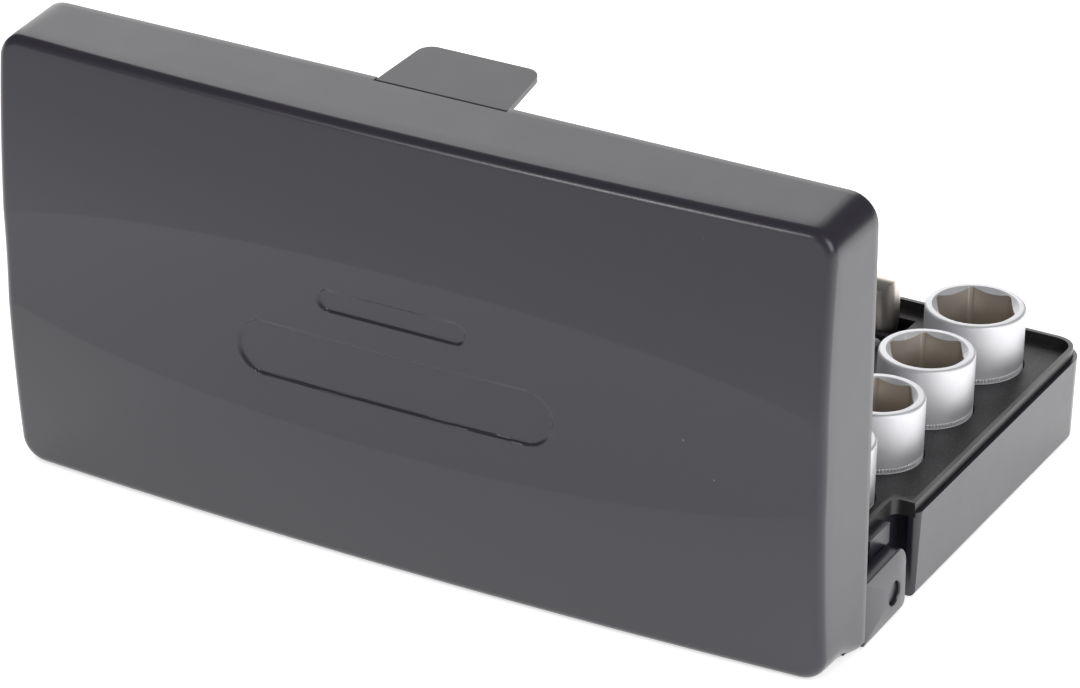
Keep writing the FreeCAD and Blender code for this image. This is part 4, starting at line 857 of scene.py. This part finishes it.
# ---- sockets -----------------------------------------------------------------------------
@dataclass
class SocketShape:
    """A hand socket that stands on its drive end: turned outside, hexagon above, square below."""

    flats: float
    x: float
    y: float
    foot: float = 4.1
    height: float = 25.0
    wall: float = 2.65
    smallest: float = 5.95
    nose: float = 12.0
    fit: float = 0.2
    depth: float = 11.0
    square: float = 6.45
    square_depth: float = 8.0
    bore: float = 3.0
    lead: float = 0.8
    edge: float = 0.6
    knurl_pitch: float = 0.66
    knurl_depth: float = 0.28
    knurl_level: float = 13.1
    knurl_height: float = 0.75
    soften: float = 0.03
    inside: int = 6

    @property
    def name(self) -> str:
        """Node name of the socket."""
        return "socket_" + f"{self.flats:g}".replace(".", "_")

    @property
    def outside(self) -> float:
        """Largest outside radius, at the drive end."""
        return max(self.flats / 2 + self.wall, self.smallest)

    def angles(self) -> np.ndarray:
        """Angles of the columns: four for each knurl, and one at each corner and flat."""
        knurls = round(2 * math.pi * self.outside / self.knurl_pitch / 6) * 6
        return np.linspace(0, 2 * math.pi, knurls * 4, endpoint=False)

    def polygon(self, sides: int, flats: float, turn: float, soften: float) -> np.ndarray:
        """Radius of a regular polygon at each angle, half flats over the cosine from the flat.

        Args:
            sides: Number of sides.
            flats: Distance across its flats.
            turn: Angle in degrees of one corner.
            soften: Share by which the corners are drawn in.

        Returns:
            Radii around the axis.
        """
        angle = self.angles() - math.radians(turn)
        slice_angle = 2 * math.pi / sides
        from_flat = (angle % slice_angle) - slice_angle / 2
        radius = flats / 2 / np.cos(from_flat)
        return np.minimum(radius, flats / 2 / math.cos(slice_angle / 2) * (1 - soften))

    def profile(self) -> list[tuple[np.ndarray | float, np.ndarray | float]]:
        """Radius and height of each ring, from the hexagon's floor up and round to the square.

        The lead-in is a cone r = c - (c - f) t / d with t the depth, c and f the radius at the
        hexagon's corners and flats, and d its depth at the flats, so it meets the hexagon of
        radius h at the depth d (c - h) / (c - f).

        Returns:
            Pairs of radius and height.
        """
        top = self.foot + self.height
        nose = self.flats / 2 + self.wall
        drive = self.outside
        flat = (self.flats + self.fit) / 2
        corner = flat / math.cos(math.pi / 6)
        hexagon = self.polygon(6, self.flats + self.fit, 0.0, self.soften)
        meet = self.lead * (corner - hexagon) / (corner - flat)
        square = self.polygon(4, self.square, 45.0, 0.04)
        bore = min(self.bore, self.flats / 2 - self.fit)
        floor = top - self.depth
        rows: list[tuple[np.ndarray | float, np.ndarray | float]] = [
            (bore, self.foot + self.square_depth), (bore, floor - 0.3), (bore + 0.3, floor),
            (hexagon - 0.03, floor), (hexagon, floor + 0.2), (hexagon, top - meet - 0.04),
            (hexagon + 0.03, top - meet + 0.02), (corner + 0.02, top - 0.06), (corner + 0.1, top)]
        for angle in np.linspace(0, math.pi / 2, 9):
            rows.append((nose - self.edge * (1 - math.sin(angle)), top - self.edge * (1 - math.cos(angle))))
        if drive > nose + 0.01:
            neck = drive - nose
            for share in np.linspace(0, 1, 7):
                blend = float(smooth_step(0, 1, np.array(share)))
                rows.append((nose + neck * blend, top - self.nose - neck * share))
        wave = 0.5 + 0.5 * np.cos(self.angles() * (len(self.angles()) // 4))
        low, high = self.foot + self.knurl_level, self.foot + self.knurl_level + self.knurl_height
        groove = self.knurl_depth
        rows += [(drive, high + 0.35), (drive - groove, high + 0.2), (drive - groove, high),
                 (drive - groove * wave, high - 0.15), (drive - groove * wave, low + 0.15),
                 (drive - groove, low), (drive - groove, low - 0.2), (drive, low - 0.35),
                 (drive, self.foot + 0.6)]
        for angle in np.linspace(0, math.pi / 2, 6):
            rows.append((drive - 0.5 * (1 - math.cos(angle)), self.foot + 0.5 * (1 - math.sin(angle))))
        rows += [(square + 0.25, self.foot), (square, self.foot + 0.3),
                 (square, self.foot + self.square_depth), (bore, self.foot + self.square_depth)]
        return rows

    def build(self, metal: Shader, bare: Shader) -> None:
        """Build and dress the socket.

        Args:
            metal: Its plating.
            bare: The broached steel inside it.
        """
        angle = self.angles()
        rows = []
        for radius, level in self.profile():
            reach = np.broadcast_to(radius, angle.shape)
            rows.append(np.stack([self.x + reach * np.cos(angle), self.y + reach * np.sin(angle),
                                  np.broadcast_to(level, angle.shape)], -1))
        points = np.stack(rows)
        surface = Surface(self.name + "_turned")
        surface.grid(points[:self.inside + 1], wrap=True, flip=True, finish=1)
        surface.grid(points[self.inside:], wrap=True, flip=True)
        piece = surface.build("loose_" + self.name, self.name, sharp=28)
        metal.dress(piece)
        bare.add_to(piece)


@dataclass
class SocketSet:
    """All the sockets: a column of large ones and a row of small ones."""

    large: tuple[float, ...] = (14, 13, 12, 11)
    small: tuple[float, ...] = (10, 9, 8, 7, 6, 5.5, 5, 4.5, 4)
    x: float = -68.0
    y: float = -29.6
    column_gap: float = 3.0
    row_gap: float = 2.4

    def build(self, metal: Shader, bare: Shader) -> None:
        """Build every socket, each beside the last at its gap.

        Args:
            metal: Their plating.
            bare: The broached steel inside them.
        """
        def outside(flats: float) -> float:
            """Largest outside radius of a socket."""
            return SocketShape(flats, self.x, self.y).outside

        x, y, last = self.x, self.y, self.large[0]
        SocketShape(last, x, y).build(metal, bare)
        for flats in self.large[1:]:
            y += outside(last) + outside(flats) + self.column_gap
            SocketShape(flats, x, y).build(metal, bare)
            last = flats
        for flats in self.small:
            x += outside(last) + outside(flats) + self.row_gap
            SocketShape(flats, x, y).build(metal, bare)
            last = flats


# ---- camera, light and room --------------------------------------------------------------
@dataclass
class Studio:
    """The camera, the lamps, a white floor and a white room."""

    unit: float = 0.9
    azimuth: float = 28.46
    elevation: float = 26.8
    roll: float = 0.9
    distance: float = 983.55
    target: tuple[float, float, float] = (18.63, -4.31, 46.48)
    focal: float = 4910.5
    width: float = 1080.0
    sensor: float = 36.0
    case_back: float = 45.0
    floor_z: float = -0.00005
    floor_half: float = 3.0
    floor_tone: float = 0.86
    dim: float = 0.15
    sky: float = 0.8
    lift: float = 0.5
    painted_reflection_glow: float = 1.0
    painted_reflection_span: tuple[float, float] = (0.0, 290.0)
    lamp_aim: tuple[float, float, float] = (0.0, 0.0, 0.04)
    lamps: tuple[tuple[str, tuple[float, float, float], float, float], ...] = (
        ("back", (0.45, -0.8, 0.45), 0.8, 3.8),
        ("side", (-0.75, 0.32, 0.45), 0.5, 3.0),
        ("front", (0.22, 0.75, 0.3), 0.12, 1.2))

    def camera(self) -> None:
        """Place the camera: a long lens, turned half round about Z into the case's frame."""
        az, el, roll = (math.radians(v) for v in (self.azimuth, self.elevation, self.roll))
        back = Vector((math.sin(az) * math.cos(el), -math.cos(az) * math.cos(el), math.sin(el)))
        right = Vector((math.cos(az), math.sin(az), 0))
        up = back.cross(right)
        rolled_right = right * math.cos(roll) + up * math.sin(roll)
        rolled_up = up * math.cos(roll) - right * math.sin(roll)
        place = Vector(self.target) + back * self.distance

        def to_case(vector: Vector) -> Vector:
            """Turn a direction half round about Z."""
            return Vector((-vector.x, -vector.y, vector.z))

        axes = [to_case(v) for v in (rolled_right, rolled_up, back)]
        place = to_case(place) * self.unit
        place = (place + Vector((0, self.case_back, 0))) * MM
        matrix = Matrix((axes[0], axes[1], axes[2])).transposed().to_4x4()
        matrix.translation = place
        data = bpy.data.cameras.new("camera")
        data.sensor_width = self.sensor
        data.lens = self.focal / self.width * self.sensor
        data.clip_end = 20.0
        data.clip_start = 0.01
        camera = bpy.data.objects.new("camera", data)
        camera.matrix_world = matrix
        bpy.context.scene.collection.objects.link(camera)
        bpy.context.scene.camera = camera

    def lamp(self, name: str, place: tuple[float, float, float], size: float, power: float) -> None:
        """Add a soft square lamp.

        Args:
            name: Name of the lamp.
            place: Where it hangs, in metres.
            size: Length of its side.
            power: Its power in watts.
        """
        data = bpy.data.lights.new(name, "AREA")
        data.size = size
        data.energy = power
        lamp = bpy.data.objects.new(name, data)
        lamp.location = place
        lamp.rotation_euler = (Vector(self.lamp_aim) - Vector(place)).to_track_quat("-Z", "Y").to_euler()
        bpy.context.scene.collection.objects.link(lamp)

    def room(self) -> None:
        """Make the world: white to the camera, pale as a soft light, and dim in gloss above the floor."""
        world = bpy.data.worlds.new("room")
        bpy.context.scene.world = world
        world.use_nodes = True
        room = Nodes(world.node_tree)
        gloss = room.node("LightPath", "Is Glossy Ray")
        camera = room.node("LightPath", "Is Camera Ray")
        level = self.sky + gloss * (self.dim - self.sky)
        level = camera + level * (1.0 - camera)
        back = world.node_tree.nodes["Background"]
        back.inputs["Color"].default_value = tinted(1.0)
        world.node_tree.links.new(level.link, back.inputs["Strength"])

    def floor(self) -> None:
        """Lay the floor: matt and pale, lifted to white for the camera, with its shadow kept.

        In gloss it glows as a painted reflection of a lit floor, full beside the case and falling away in
        front, by a smooth step of Y.
        """
        side = np.array([-1.0, 1.0]) * self.floor_half
        x, y = np.meshgrid(side, side)
        corners = np.stack([x, y, np.full_like(x, self.floor_z)], -1).reshape(-1, 3)
        mesh = bpy.data.meshes.new("floor")
        mesh.from_pydata(corners.tolist(), [], [(0, 1, 3, 2)])
        floor = bpy.data.objects.new("floor", mesh)
        bpy.context.scene.collection.objects.link(floor)
        shader = Shader("floor_white", Base_Color=tinted(self.floor_tone), Roughness=0.9,
                        Specular_IOR_Level=0.1)
        shader.surface.inputs["Emission Strength"].default_value = 1.0
        gloss = shader.node("LightPath", "Is Glossy Ray") + shader.node("LightPath", "Is Transmission Ray")
        # Painted reflection: glossy rays see the floor glow, fully beside the case and fading in front, in
        # place of a floor lit there.
        near = 1.0 - shader.axis("Y").step(*self.painted_reflection_span)
        lift = shader.node("LightPath", "Is Camera Ray") * self.lift + gloss * near * self.painted_reflection_glow
        shader.feed(Emission_Color=shader.node("CombineColor", 0, Red=lift, Green=lift, Blue=lift))
        shader.dress(floor)

    def build(self) -> None:
        """Set up the whole studio."""
        self.camera()
        self.room()
        self.floor()
        for name, place, size, power in self.lamps:
            self.lamp(name, place, size, power)


def keep_size() -> None:
    """Hold a helper that turns a box into plain lists; nothing is written."""
    def plain(box: object) -> list:
        """Turn a box into plain lists."""
        return [[float(v) for v in corner] for corner in box]


def main() -> None:
    """Build every piece in order, dress the solids that stay, and set up the studio."""
    logging.basicConfig(level=logging.INFO)
    bpy.context.scene.view_settings.view_transform = "Standard"
    shell, insert, lip, handle, chrome, bare, grip = (finish.make() for finish in Finish)
    nodes = {piece.name: piece for piece in bpy.data.objects if piece.type == "MESH"}
    chrome.dress(*nodes.values())
    for finish, names in ((shell, ("tray_shell", "latch_flap")), (insert, ("tool_insert",)),
                          (lip, ("insert_rim",)), (grip, ("ratchet_grip",)),
                          (handle, ("spinner_handle",))):
        finish.dress(*(nodes[name] for name in names))
    Lid().build(shell)
    SocketSet().build(chrome, bare)
    Studio().build()
    keep_size()


if __name__ == "__main__":
    main()
